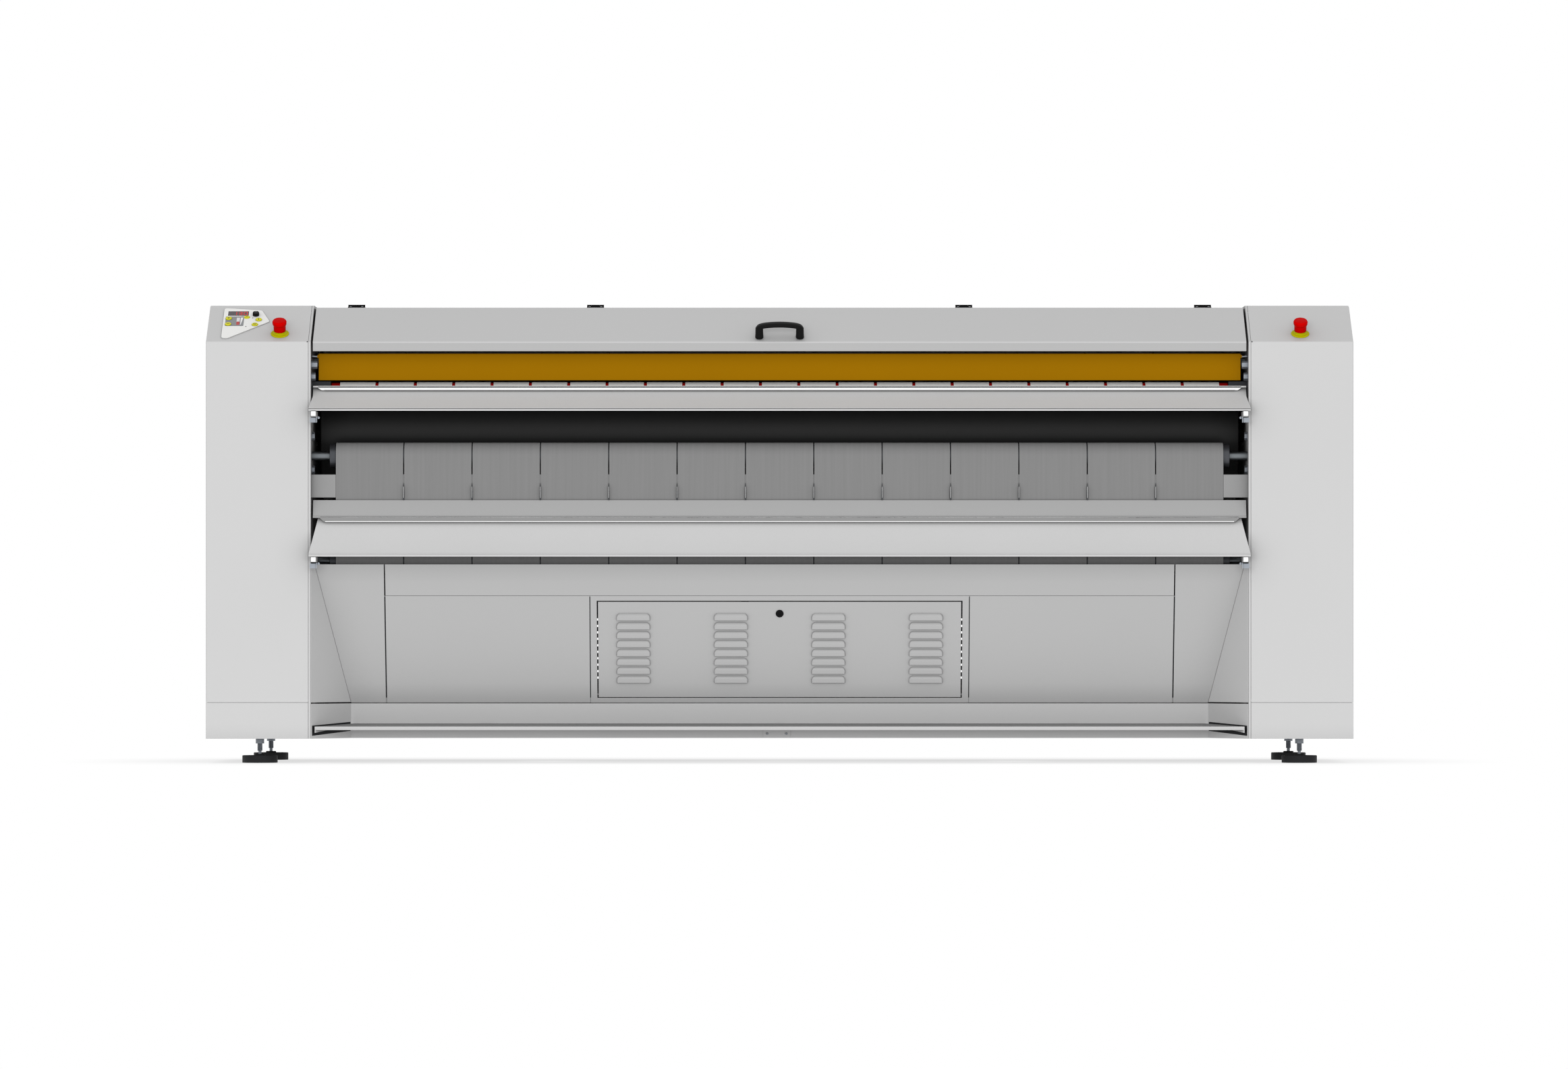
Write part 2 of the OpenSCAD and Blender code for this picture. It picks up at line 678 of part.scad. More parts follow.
// Narrow white belts that run over the red roller and carry the linen to the cylinder
feed_belt_span = work_w - 2 * feed_margin;
feed_pitch = (feed_belt_span + feed_seam) / feed_belts_n;
feed_x = work_w / 2 - end_gap * 1.65;
module feed_loop(e) {
    inside([feed_c, idler_c], [feed_r + e, idler_r + e]);
}
module feed_belts() {
    color("whitesmoke") for (i = [0:feed_belts_n - 1]) {
        x = i * feed_pitch - feed_belt_span / 2;
        along_x(x, x + feed_pitch - feed_seam) difference() {
            feed_loop(belt_gap + feed_t);
            feed_loop(belt_gap);
        }
    }
}
module roller(c, r, half, shaft) {
    rod(c, r, -half, half, 96);
    rod(c, shaft, -frame_x - bearing_w, frame_x + bearing_w);
}
module feed_roller() {
    color("red") roller(feed_c, feed_r, feed_x, feed_shaft_r);
}
module feed_idler() {
    color("silver") roller(idler_c, idler_r, feed_x, feed_shaft_r);
}
module feed_end_blocks() {
    color("dimgray") both_sides() difference() {
        block([feed_x + over, feed_c[0] - feed_r, feed_c[1] - feed_r / 2],
            [in_x, feed_c[0] + feed_r / 2, infeed_z + infeed_gap * 0.85]);
        rod(feed_c, feed_shaft_r + touch, feed_x, in_x + over);
    }
}

// Wide belts side by side that wrap the cylinder and run down the front
module belt_loop(e) {
    inside(pulleys, radii(e));
}
module ironing_belts() {
    color("darkgray") for (i = [0:iron_belts - 1]) {
        x = (i - iron_belts / 2) * iron_pitch + iron_seam / 2;
        along_x(x, x + iron_pitch - iron_seam) difference() {
            belt_loop(belt_gap + iron_t);
            belt_loop(belt_gap);
        }
    }
}

// Polished steel drum with an end disc and a hollow journal at each end
disc_t = 2.5 * cyl_wall;
journal_x = frame_x + bearing_w + 3 * sprocket_w;
big_sprocket = 0.66 * cyl_r;
small_sprocket = 0.26 * cyl_r;
sprocket_x = frame_x + bearing_w + sprocket_w;
module heated_cylinder() {
    color("#303030") difference() {
        union() {
            rod(cyl_c, cyl_r, -work_w / 2, work_w / 2, 128);
            rod(cyl_c, journal_r, -journal_x, journal_x);
            rod(cyl_c, big_sprocket, sprocket_x, sprocket_x + sprocket_w, 96);
        }
        rod(cyl_c, cyl_r - cyl_wall, disc_t - work_w / 2, work_w / 2 - disc_t, 128);
        rod(cyl_c, journal_r - journal_wall, -journal_x - over, journal_x + over);
    }
}

// Flanged bearing units on the outer faces of the side frames
module bearing(c, r, x) {
    ring(c, r + shaft_r, r + run_gap, x, x + bearing_w);
    ring(c, r + 2 * shaft_r, r + run_gap, x, x + bearing_w / 3);
}
module bearings() {
    color("slategray") both_sides() {
        bearing(cyl_c, journal_r, frame_x);
        for (c = [front_c, lower_c, rear_c, top_rear_c, nip_c]) bearing(c, shaft_r, frame_x);
        for (c = [feed_c, idler_c]) ring(c, feed_shaft_r + shaft_r / 2, feed_shaft_r + run_gap,
            frame_x, frame_x + bearing_w / 2);
    }
}

// Sheathed heating rods on discs round a fixed tube through the hollow journals
carrier_r = (journal_r - journal_wall) * 0.8;
rod_n = 6;
rod_r = cyl_wall;
rod_circle = (cyl_r - cyl_wall) * 0.7;
module heater_bank() {
    half = work_w / 2 - 4 * disc_t;
    stay = big_sprocket + 3 * sprocket_w;
    color("dimgray") {
        rod(cyl_c, carrier_r, -journal_x - bearing_w, journal_x + bearing_w, 48);
        for (x = [-half * 0.9, -half * 0.3, half * 0.3, half * 0.9])
            rod(cyl_c, rod_circle + 2 * rod_r, x, x + rod_r, 48);
        for (i = [0:rod_n - 1]) rod(cyl_c + rod_circle * unit(i * 360 / rod_n), rod_r, -half, half, 24);
        both_sides() difference() {
            block([journal_x + bearing_w / 4, cyl_c[0] - stay, cyl_c[1] - carrier_r],
                [journal_x + bearing_w / 2, cyl_c[0] + stay, cyl_c[1] + carrier_r]);
            rod(cyl_c, carrier_r - over, journal_x, journal_x + bearing_w, 48);
        }
        both_sides() for (s = [-1, 1]) block([frame_x, cyl_c[0] + s * stay - tie_wall * 2,
            cyl_c[1] - carrier_r], [journal_x + bearing_w / 2, cyl_c[0] + s * stay,
            cyl_c[1] + carrier_r]);
    }
}

// Belt rollers, turned tubes on through shafts
module front_roller() {
    color("gray") roller(front_c, roller_r, roller_x, shaft_r);
}
module lower_roller() {
    color("gray") roller(lower_c, roller_r, roller_x, shaft_r);
}
module rear_roller() {
    color("gray") roller(rear_c, roller_r, roller_x, shaft_r);
}
module top_rear_roller() {
    color("gray") roller(top_rear_c, roller_r, roller_x, shaft_r);
}
module nip_roller() {
    color("gray") roller(nip_c, nip_r, roller_x, shaft_r);
}

// Gearmotor on a shelf in the right column, and the chain up to the cylinder
motor_in = 60;            // depth of the motor's shaft ahead of the cylinder's
motor_c = [cyl_d - motor_in, cyl_z - 1.9 * cyl_r];
gear_h = 2 * small_sprocket + 6 * sprocket_w;
gear_x = sprocket_x + 2 * sprocket_w + touch;
gear_w = column_w * 0.3;
motor_end = out_x - 4 * cover_t;
module gearmotor() {
    color("steelblue") {
        block([gear_x, motor_c[0] - gear_h / 2, motor_c[1] - gear_h / 2],
            [gear_x + gear_w, motor_c[0] + gear_h / 2, motor_c[1] + gear_h / 2]);
        rod(motor_c, gear_h * 0.42, gear_x + gear_w, motor_end);
        rod(motor_c, shaft_r, sprocket_x - sprocket_w / 2, gear_x);
        block([frame_x, motor_c[0] - gear_h / 2, motor_c[1] - gear_h / 2 - frame_t],
            [motor_end, motor_c[0] + gear_h / 2, motor_c[1] - gear_h / 2]);
    }
}
module motor_sprocket() {
    color("dimgray") {
        ring(motor_c, small_sprocket, shaft_r + run_gap, sprocket_x, sprocket_x + sprocket_w);
        ring(motor_c, 2 * shaft_r, shaft_r + run_gap, sprocket_x, sprocket_x + 2 * sprocket_w);
    }
}
chain_t = 6;
module drive_chain() {
    module loop(e) {
        inside([motor_c, cyl_c], [small_sprocket + e, big_sprocket + e]);
    }
    color("#505050") along_x(sprocket_x, sprocket_x + sprocket_w) difference() {
        loop(touch + chain_t);
        loop(touch);
    }
}

// Exhaust fan in the right column: it draws from the hood and blows out of the rear spigot
fan_wall = 1.5;
fan_r = fan_eye * 1.7;
fan_left = fan_x - fan_w / 2;
fan_shaft = 8;
spigot_flange = 4;
module fan_tube(r) {
    translate([fan_x, y_front + fan_c[0], out_z]) rotate([-90, 0, 0])
        cylinder(h = column_d + spigot_l - fan_c[0] + (r < spigot_dia / 2 ? over : 0), r = r, $fn = 96);
}
module fan_housing() {
    color("silver") {
        difference() {
            union() {
                rod(fan_c, fan_r, fan_left, fan_left + fan_w, 96);
                rod(fan_c, fan_eye, frame_x, fan_left);
                fan_tube(spigot_dia / 2);
                translate([fan_x, y_front + column_d, out_z]) rotate([-90, 0, 0])
                    cylinder(h = spigot_flange, r = spigot_dia / 2 + 2 * spigot_flange);
            }
            rod(fan_c, fan_r - fan_wall, fan_left + fan_wall, fan_left + fan_w - fan_wall, 96);
            rod(fan_c, fan_eye - fan_wall, frame_x - over, fan_left + 2 * fan_wall);
            fan_tube(spigot_dia / 2 - fan_wall);
        }
        rod(fan_c, fan_r * 0.5, fan_left + fan_w, motor_end);
        rod(fan_c, fan_shaft, fan_left + fan_w / 3, fan_left + fan_w - fan_wall);
        block([fan_left + fan_w, fan_c[0] - fan_r * 0.4, fan_c[1] + fan_r * 0.3],
            [motor_end, fan_c[0] + fan_r * 0.4, top_z - cover_t - touch]);
    }
}
fan_blades = 12;
module fan_impeller() {
    r = fan_eye * 0.92;
    x1 = fan_left + fan_w * 0.8;
    x0 = fan_left + fan_w / 4;
    color("gray") {
        ring(fan_c, r, fan_shaft + run_gap, x1 - 3 * fan_wall, x1);
        ring(fan_c, 2 * fan_shaft, fan_shaft + run_gap, x0 + fan_shaft, x1);
        for (i = [0:fan_blades - 1]) translate([0, y_front + fan_c[0], fan_c[1]])
            rotate([i * 360 / fan_blades, 0, 0]) translate([x0, -fan_wall / 2, r * 0.7])
            cube([x1 - x0 - fan_wall, fan_wall, r * 0.28]);
    }
}

// Gland for the supply cable in the back of the left column
module cable_gland() {
    color("dimgray") translate([gland_x, y_front + column_d, gland_z]) rotate([-90, 0, 0]) difference() {
        union() {
            translate([0, 0, -gland_r]) cylinder(h = 2 * gland_r, r = gland_r - touch);
            cylinder(h = gland_r / 2, r = gland_r * 1.35, $fn = 6);
            translate([0, 0, gland_r]) cylinder(h = gland_r * 0.7, r = gland_r * 1.2, $fn = 6);
            translate([0, 0, -cover_t - gland_r / 2]) cylinder(h = gland_r / 2, r = gland_r * 1.35, $fn = 6);
        }
        translate([0, 0, -gland_r - over]) cylinder(h = 3 * gland_r + 2 * over, d = gland_bore);
    }
}

// Power electronics in a box on the floor pan behind the louvred door
module control_box() {
    floor_z = casing_z + tie_wall;
    low = [-door_w * 0.42, column_d * 0.56, floor_z];
    high = [door_w * 0.05, column_d * 0.85, lower_c[1] - 3 * roller_r - iron_t];
    color("silver") difference() {
        block(low, high);
        block(low + cover_t * [1, 1, 1], high - cover_t * [1, 1, 1]);
    }
}

// Controls on the left column's slope; x runs to the right, y up the slope
function soft(p, r) = [for (i = [0:len(p) - 1]) let(
        a = p[i], h = a + r * heading(a, p[(i + len(p) - 1) % len(p)]),
        j = a + r * heading(a, p[(i + 1) % len(p)]))
    for (k = [0:4]) let(s = k / 4) (1 - s) * (1 - s) * h + 2 * s * (1 - s) * a + s * s * j];
plate_t = 2;
panel_w = 128;
panel_h = 176;
panel_p = [16 * cos(slope_a), bend_z + 16 * sin(slope_a)];
panel_in = 40;            // distance in from the column's outer face
panel_x = panel_in - out_x;
panel_shares = [[0, 0], [0.14, 0], [1, 0.55], [0.81, 0.92], [0, 1]];
window_shares = [[0.04, 0.2], [0.55, 0.2], [0.9, 0.5], [0.77, 0.88], [0.04, 0.95]];
window = [for (s = window_shares) [s[0] * panel_w, s[1] * panel_h]];
key_r = 8.5;
key_h = 2.5;
plus_p = [15, 113];
minus_p = [15, 80];
menu_p = [64, 121];
start_p = [97, 106];
stop_p = [88, 78];
knob_p = [88, 133];
display_low = [12, 130];
display_size = [56, 26];
module on_panel(p, z) {
    on_slope(panel_p, slope_a) translate([panel_x + p[0], p[1], z + run_gap]) children();
}
module control_plate() {
    color("whitesmoke") difference() {
        on_panel([0, 0], 0) linear_extrude(plate_t)
            polygon(soft([for (s = panel_shares) [s[0] * panel_w, s[1] * panel_h]], key_r));
        for (p = [plus_p, minus_p, menu_p, start_p, stop_p])
            on_panel(p, -over) cylinder(h = plate_t + 2 * over, r = key_r + touch);
        on_panel(knob_p, -over) cylinder(h = plate_t + 2 * over, r = knob_stem + run_gap);
        on_panel(display_low, -over) cube([display_size[0], display_size[1], plate_t + 2 * over]);
    }
}
knob_stem = 3;
board_z = -9;
module display() {
    color("#101010") {
        on_panel(display_low + [touch, touch], board_z)
            cube([display_size[0] - 2 * touch, display_size[1] - 2 * touch, plate_t - board_z]);
        on_panel([key_r, minus_p[1] - key_r], board_z - plate_t)
            cube([knob_p[0], panel_h * 0.52, plate_t]);
    }
}
module key(p) {
    on_panel(p, 0) {
        cylinder(h = plate_t + key_h, r = key_r);
        translate([0, 0, board_z + 2 * key_travel]) cylinder(h = -board_z - key_travel, r = key_r / 3);
    }
}
module plus_key() {
    color("gold") key(plus_p);
}
module minus_key() {
    color("gold") key(minus_p);
}
module menu_key() {
    color("gold") key(menu_p);
}
module start_key() {
    color("gold") key(start_p);
}
module stop_key() {
    color("gold") key(stop_p);
}
module knob() {
    color("#303030") on_panel(knob_p, 0) {
        translate([0, 0, plate_t + touch]) cylinder(h = knob_dia * 0.6, d = knob_dia);
        translate([0, 0, board_z + touch]) cylinder(h = plate_t + 2 * touch - board_z, r = knob_stem);
    }
}

// Emergency stops, one on each column: collar, bush and contact block, and the cap that travels
estop_s = 45;
estop_in = 198.4;         // the left one's distance in from the column's outer face
estop_x = estop_in - out_x;
right_estop_x = (in_x + out_x) / 2;
collar_t = 3;
cap_top = 42;
stop_stem = 8;
module stop_fixed(x) {
    estop_place(x) {
        difference() {
            union() {
                cylinder(h = collar_t, d1 = collar_dia, d2 = collar_dia - collar_t);
                translate([0, 0, -collar_dia / 2]) cylinder(h = collar_dia / 2, d = estop_hole - 2 * touch);
            }
            cylinder(h = collar_t + over, r = cap_neck / 2 + touch);
            translate([0, 0, -collar_dia]) cylinder(h = collar_dia + over, r = stop_stem + touch);
        }
        translate([-estop_hole / 2, -estop_hole / 2, -collar_dia])
            cube([estop_hole, estop_hole, collar_dia / 2]);
    }
}
module estop_collars() {
    color("gold") {
        stop_fixed(estop_x);
        stop_fixed(right_estop_x);
    }
}
module stop_cap(x) {
    color("red") estop_place(x) {
        translate([0, 0, cap_top - cap_neck * 0.45]) cylinder(h = cap_neck * 0.3, d = cap_dia);
        translate([0, 0, cap_top - cap_neck * 0.15])
            cylinder(h = cap_neck * 0.15, d1 = cap_dia, d2 = cap_dia * 0.8);
        translate([0, 0, estop_travel + touch]) cylinder(h = cap_top - cap_neck * 0.3, d = cap_neck);
        translate([0, 0, -stop_stem]) cylinder(h = cap_top / 2, r = stop_stem);
    }
}
module left_estop_cap() {
    stop_cap(estop_x);
}
module right_estop_cap() {
    stop_cap(right_estop_x);
}

// Sloping sheets below the tables: corners, top strip and one panel on each side of the door
corner_x = 1071 * work_w / 2500;
frame_half = door_w / 2 + 5 * door_gap;
strip_u = sill_u + door_h + 5 * door_gap;
module body_plate(points) {
    on_slope(foot_p, body_a) translate([0, 0, -cover_t]) linear_extrude(cover_t) polygon(points);
}
module body_rect(x0, x1, u0, u1) {
    body_plate([[x0, u0], [x1, u0], [x1, u1], [x0, u1]]);
}
module body_panels() {
    color("gainsboro") {
        both_sides() {
            body_plate([[corner_x + 2 * seam, 0], [splay_at(foot_p[0]) - touch, 0],
                [splay_at(head_p[0]) - touch, body_len], [corner_x + 2 * seam, body_len]]);
            body_rect(frame_half + seam, corner_x - 2 * seam, 0, strip_u - seam / 2);
        }
        body_rect(-corner_x + 2 * seam, corner_x - 2 * seam, strip_u + seam / 2, body_len);
        for (x = [-corner_x, -frame_half, frame_half, corner_x])
            on_slope(foot_p, body_a) translate([x - door_fold, 0, -3 * cover_t])
                cube([2 * door_fold, strip_u - seam, 2 * cover_t - touch / 4]);
    }
}

// Door opening with its side flanges and pivot pins; v runs up from the sill
sill_share = 0.455;
hinge_v = 7;
hinge_n = -7;
door_pin = 2.5;
door_half = door_w / 2 - door_gap;
module at_sill() {
    on_slope(body_at(sill_u), body_a) children();
}
module door_frame() {
    color("gainsboro") {
        difference() {
            body_rect(-frame_half, frame_half, 0, strip_u - seam / 2);
            at_sill() translate([-door_w / 2, -sill_share * door_sill, -2 * cover_t])
                cube([door_w, door_h + door_gap + sill_share * door_sill, 4 * cover_t]);
        }
        both_sides() at_sill() {
            translate([door_w / 2, 0, -door_fold - 3 * cover_t])
                cube([cover_t, door_h, door_fold + 3 * cover_t]);
            translate([door_half - 3 * cover_t, hinge_v, hinge_n]) rotate([0, 90, 0])
                cylinder(h = door_gap + 3 * cover_t, r = door_pin);
        }
    }
}

// Louvre: a pressed hood open along its lower edge
module louvre() {
    w = louvre_w / 2;
    for (s = [-1, 1]) translate([min(s * w, s * (w - cover_t)), 0, 0]) rotate([90, 0, 90])
        linear_extrude(cover_t) polygon([[0, -cover_t], [0, louvre_d], [louvre_h, 0], [louvre_h, -cover_t]]);
    translate([-w, 0, 0]) rotate([90, 0, 90]) linear_extrude(louvre_w)
        polygon([[0, louvre_d - cover_t], [0, louvre_d], [louvre_h, 0], [louvre_h, -cover_t]]);
}
louvre_top = door_h - 32;
lock_v = door_h - 33;
louvre_fit = floor((louvre_top - louvre_h - 2 * door_fold) / louvre_step) + 1;
module louvre_places() {
    for (i = [0:louvre_cols - 1]) for (j = [0:min(louvre_rows, louvre_fit) - 1])
        translate([(i - (louvre_cols - 1) / 2) * louvre_step_x, louvre_top - louvre_h - j * louvre_step, 0])
            children();
}
module door() {
    color("gainsboro") at_sill() {
        low_v = (1 - sill_share) * door_sill;
        difference() {
            union() {
                translate([-door_half, low_v, -cover_t]) cube([2 * door_half, door_h - low_v, cover_t]);
                both_sides() translate([door_half - cover_t, low_v, -door_fold - cover_t])
                    cube([cover_t, door_h - low_v, door_fold + cover_t]);
                translate([-door_half, door_h - cover_t, -door_fold - cover_t])
                    cube([2 * door_half, cover_t, door_fold + cover_t]);
            }
            louvre_places() translate([-louvre_w / 2 + cover_t, 0, -2 * cover_t])
                cube([louvre_w - 2 * cover_t, louvre_h - cover_t, 3 * cover_t]);
            translate([0, lock_v, -2 * cover_t]) cylinder(h = 3 * cover_t, r = lock_r - 2 * run_gap);
            translate([-door_w, hinge_v, hinge_n]) rotate([0, 90, 0])
                cylinder(h = 2 * door_w, r = door_pin + run_gap);
        }
        louvre_places() louvre();
    }
}
module door_lock() {
    color("black") at_sill() translate([0, lock_v, 0]) {
        reach = door_h - lock_v + 3 * door_gap;
        translate([0, 0, touch]) cylinder(h = cover_t, r = lock_r);
        translate([0, 0, -door_fold - 3 * cover_t]) cylinder(h = door_fold + 3 * cover_t + over,
            r = lock_r - 3 * run_gap);
        translate([0, -lock_r / 2, -door_fold - 3 * cover_t]) cube([reach, lock_r, cover_t]);
    }
}

// Plinth and splayed walls of the toe recess
arm_w2 = 24;
arm_h2 = 4;               // depth of an arm's underside below the fulcrum
arm_gap = 2;              // free play round an arm where it passes through the plinth
arm_sink = 6.5;           // room below it there for the treadle's stroke
arm_xs = [for (i = [0:arm_n - 1]) arm_n == 1 ? 0 : (i / (arm_n - 1) - 0.5) * work_w * 0.64];
module plan(z0, z1) {
    translate([0, y_front, z0]) linear_extrude(z1 - z0) children();
}
module toe_recess() {
    mouth = [splay_at(0), 0];
    corner = [splay_at(toe_d), toe_d];
    path = [mouth, corner, [-corner[0], toe_d], [-mouth[0], 0]];
    color("gainsboro") {
        difference() {
            plan(casing_z, plinth_z - 2 - seam * 2) polygon(sheet(path, -cover_t));
            for (x = arm_xs) block([x - arm_w2 / 2 - arm_gap, toe_d - cover_t, fulcrum[1] - arm_h2 - arm_sink],
                [x + arm_w2 / 2 + arm_gap, toe_d + 3 * cover_t, fulcrum[1] + treadle_t + arm_gap]);
        }
        intersection() {
            both_sides() plan(plinth_z, body_z)
                polygon(sheet([mouth, corner], -cover_t));
            profile([[0, plinth_z], [toe_d, plinth_z], foot_p, head_p, [0, body_z]], -in_x, in_x);
        }
        block([-tag_w / 2 - 8, toe_d - treadle_t, casing_z],
            [tag_w / 2 - 8, toe_d, casing_z + tag_w * 0.3]);
    }
}

// Full-width foot plate on arms that turn on a shaft between the side frames
treadle_back = toe_d - 2;
module treadle_plan(g) {
    plan(casing_z - over, plinth_z) polygon([[splay_at(0) - g, 0], [splay_at(treadle_back) - g, treadle_back],
        [g - splay_at(treadle_back), treadle_back], [g - splay_at(0), 0]]);
}
module treadle() {
    nose = [0.5, treadle_z];
    back = [treadle_back, treadle_z + treadle_rise];
    color("gainsboro") {
        intersection() {
            treadle_plan(treadle_gap);
            union() {
                profile([nose, back, back - [0, treadle_t], nose + [nose_h, -treadle_t],
                    nose + [treadle_t, -nose_h], nose + [0, -nose_h]], -in_x, in_x);
                difference() {
                    profile([nose, back, back - [0, treadle_t], nose - [0, 1.8 * nose_h]], -in_x, in_x);
                    translate([0, 0, -over]) treadle_plan(treadle_gap + treadle_t);
                }
            }
        }
        for (x = arm_xs) difference() {
            block([x - arm_w2 / 2, toe_d / 2, fulcrum[1] - arm_h2],
                [x + arm_w2 / 2, fulcrum[0] + spring_back + spring_r, fulcrum[1] + treadle_t]);
            profile([[0, treadle_z], [treadle_back * 2, treadle_z + treadle_rise * 2],
                [treadle_back * 2, plinth_z], [0, plinth_z]], -in_x, in_x);
        }
        rod(fulcrum, fulcrum_r, -frame_x, frame_x, 48);
    }
}
spring_r = 7;
spring_back = 30;
lug_t = 3;
module treadle_springs() {
    color("silver") for (x = arm_xs) difference() {
        post(x, fulcrum[0] + spring_back, casing_z + lug_t, fulcrum[1] - arm_h2, spring_r, 32);
        post(x, fulcrum[0] + spring_back, casing_z, treadle_z, spring_r - treadle_t, 32);
    }
}

// Levelling feet: a pad and screw, locked by a nut under the side frame
stem_up = 40;
pad_taper = 4;
module foot_nuts() {
    color("slategray") both_sides() for (d = foot_d) difference() {
        post(foot_x, d, casing_z - nut_h, casing_z, nut_dia / 2, 6);
        post(foot_x, d, casing_z - nut_h - over, casing_z + over, stem_dia / 2 + touch);
    }
}
module foot(x, d) {
    pad_r = pad_dia / 2;
    neck_z = pad_rim + pad_taper + stem_dia * 0.6;
    color("black") translate([x, y_front + d, 0]) {
        cylinder(h = pad_rim, r = pad_r);
        translate([0, 0, pad_rim]) cylinder(h = pad_taper, r1 = pad_r, r2 = stem_dia);
        cylinder(h = neck_z, r = stem_dia * 0.31);
        translate([0, 0, neck_z - stem_dia * 0.3]) cylinder(h = stem_dia * 0.3, r1 = stem_dia * 0.31,
            r2 = stem_dia / 2);
        translate([0, 0, neck_z]) cylinder(h = casing_z + stem_up - neck_z, r = stem_dia / 2);
    }
}
module front_left_foot() {
    foot(-foot_x, foot_d[0]);
}
module front_right_foot() {
    foot(foot_x, foot_d[0]);
}
module rear_left_foot() {
    foot(-foot_x, foot_d[1]);
}
module rear_right_foot() {
    foot(foot_x, foot_d[1]);
}

side_frames();
base_frame();
rear_covers();
top_cover();
left_cover();
right_cover();
plinth_covers();
hood();
hood_hinge_leaves();
fixed_hinge_leaves();
hood_handle();
finger_guard();
infeed_table();
return_table();
table_arms();
side_guides();
stripper_fingers();
feed_belts();
feed_roller();
feed_idler();
feed_end_blocks();
ironing_belts();
heated_cylinder();
bearings();
heater_bank();
front_roller();
lower_roller();
rear_roller();
top_rear_roller();
nip_roller();
gearmotor();
motor_sprocket();
drive_chain();
fan_housing();
fan_impeller();
cable_gland();
control_box();
control_plate();
display();
plus_key();
minus_key();
menu_key();
start_key();
stop_key();
knob();
estop_collars();
left_estop_cap();
right_estop_cap();
body_panels();
door_frame();
door();
door_lock();
toe_recess();
treadle();
treadle_springs();
foot_nuts();
front_left_foot();
front_right_foot();
rear_left_foot();
rear_right_foot();
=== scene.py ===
import json
import math

import bmesh
import bpy
import numpy as np
from mathutils import Matrix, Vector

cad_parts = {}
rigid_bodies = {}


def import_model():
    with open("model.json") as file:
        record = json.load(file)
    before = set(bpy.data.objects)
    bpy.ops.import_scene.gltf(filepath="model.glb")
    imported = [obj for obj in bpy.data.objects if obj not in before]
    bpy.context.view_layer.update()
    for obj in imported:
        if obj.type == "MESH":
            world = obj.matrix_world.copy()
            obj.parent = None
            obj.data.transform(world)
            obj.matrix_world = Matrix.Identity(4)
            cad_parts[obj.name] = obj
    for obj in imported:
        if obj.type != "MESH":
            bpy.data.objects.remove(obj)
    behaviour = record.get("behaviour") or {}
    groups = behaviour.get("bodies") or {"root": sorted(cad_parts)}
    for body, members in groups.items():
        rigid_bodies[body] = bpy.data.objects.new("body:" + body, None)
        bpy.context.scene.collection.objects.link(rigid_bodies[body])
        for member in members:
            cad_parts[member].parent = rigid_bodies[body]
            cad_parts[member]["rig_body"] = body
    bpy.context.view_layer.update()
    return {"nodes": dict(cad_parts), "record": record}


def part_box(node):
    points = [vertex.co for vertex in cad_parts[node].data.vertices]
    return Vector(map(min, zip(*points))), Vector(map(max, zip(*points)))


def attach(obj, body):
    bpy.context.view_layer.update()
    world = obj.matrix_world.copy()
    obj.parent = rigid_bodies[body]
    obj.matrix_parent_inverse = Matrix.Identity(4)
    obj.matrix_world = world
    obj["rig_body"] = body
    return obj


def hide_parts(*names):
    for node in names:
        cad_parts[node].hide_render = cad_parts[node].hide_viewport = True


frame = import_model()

# Camera: level, in front of the machine, with a long lens so that the columns' sides stay hidden.
# It stands 22.5 m from the column fronts; 1 pixel of the photograph is 1.827 mm there.
column_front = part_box("left_cover")[0].y
camera_gap = 22.5
photo_w_px = 2324
photo_h_px = 1584
horizon_px = 920
mm_per_px = 1.827
camera_x = 0.0119
camera_up = 0.385
camera_data = bpy.data.cameras.new("photo_camera")
camera_data.sensor_width = 36.0
camera_data.lens = camera_data.sensor_width * camera_gap * 1000 / (photo_w_px * mm_per_px)
camera_data.shift_y = (horizon_px - photo_h_px / 2) / photo_w_px
camera_data.clip_end = 100.0
camera = bpy.data.objects.new("photo_camera", camera_data)
camera.location = (camera_x, column_front - camera_gap, camera_up)
camera.rotation_euler = (math.radians(90), 0, 0)
bpy.context.scene.collection.objects.link(camera)
bpy.context.scene.camera = camera
bpy.context.scene.view_settings.view_transform = "Standard"


# Studio floor and light: the photograph is cut out on plain white, so the camera, metal and glass see
# floor and room as white, while their soft light falls on the machine from all round and below.
# Where the camera sees it, the floor's white is darkened near whatever stands on it: a faint painted contact
# shadow.
def linear(colour):
    """Turns an sRGB hex string into linear red, green, blue and alpha."""
    parts = [int(colour[i:i + 2], 16) / 255 for i in (0, 2, 4)]
    return tuple(((c + 0.055) / 1.055) ** 2.4 if c > 0.04045 else c / 12.92 for c in parts) + (1.0,)


def node(tree, kind, links=None, **settings):
    """Adds one shader node, sets its properties, then fills its inputs with values or links."""
    made = tree.nodes.new("ShaderNode" + kind)
    for name, value in settings.items():
        setattr(made, name, value)
    for name, value in (links or {}).items():
        if isinstance(value, bpy.types.NodeSocket):
            tree.links.new(value, made.inputs[name])
        else:
            made.inputs[name].default_value = value
    return made


def seen_directly(tree):
    """1 where the ray is a camera, glossy or transmission ray, and 0 for light that falls on things."""
    path = node(tree, "LightPath")
    shiny = node(tree, "Math", {0: path.outputs["Is Glossy Ray"], 1: path.outputs["Is Transmission Ray"]},
                 operation="MAXIMUM")
    return node(tree, "Math", {0: path.outputs["Is Camera Ray"], 1: shiny.outputs[0]},
                operation="MAXIMUM").outputs[0]


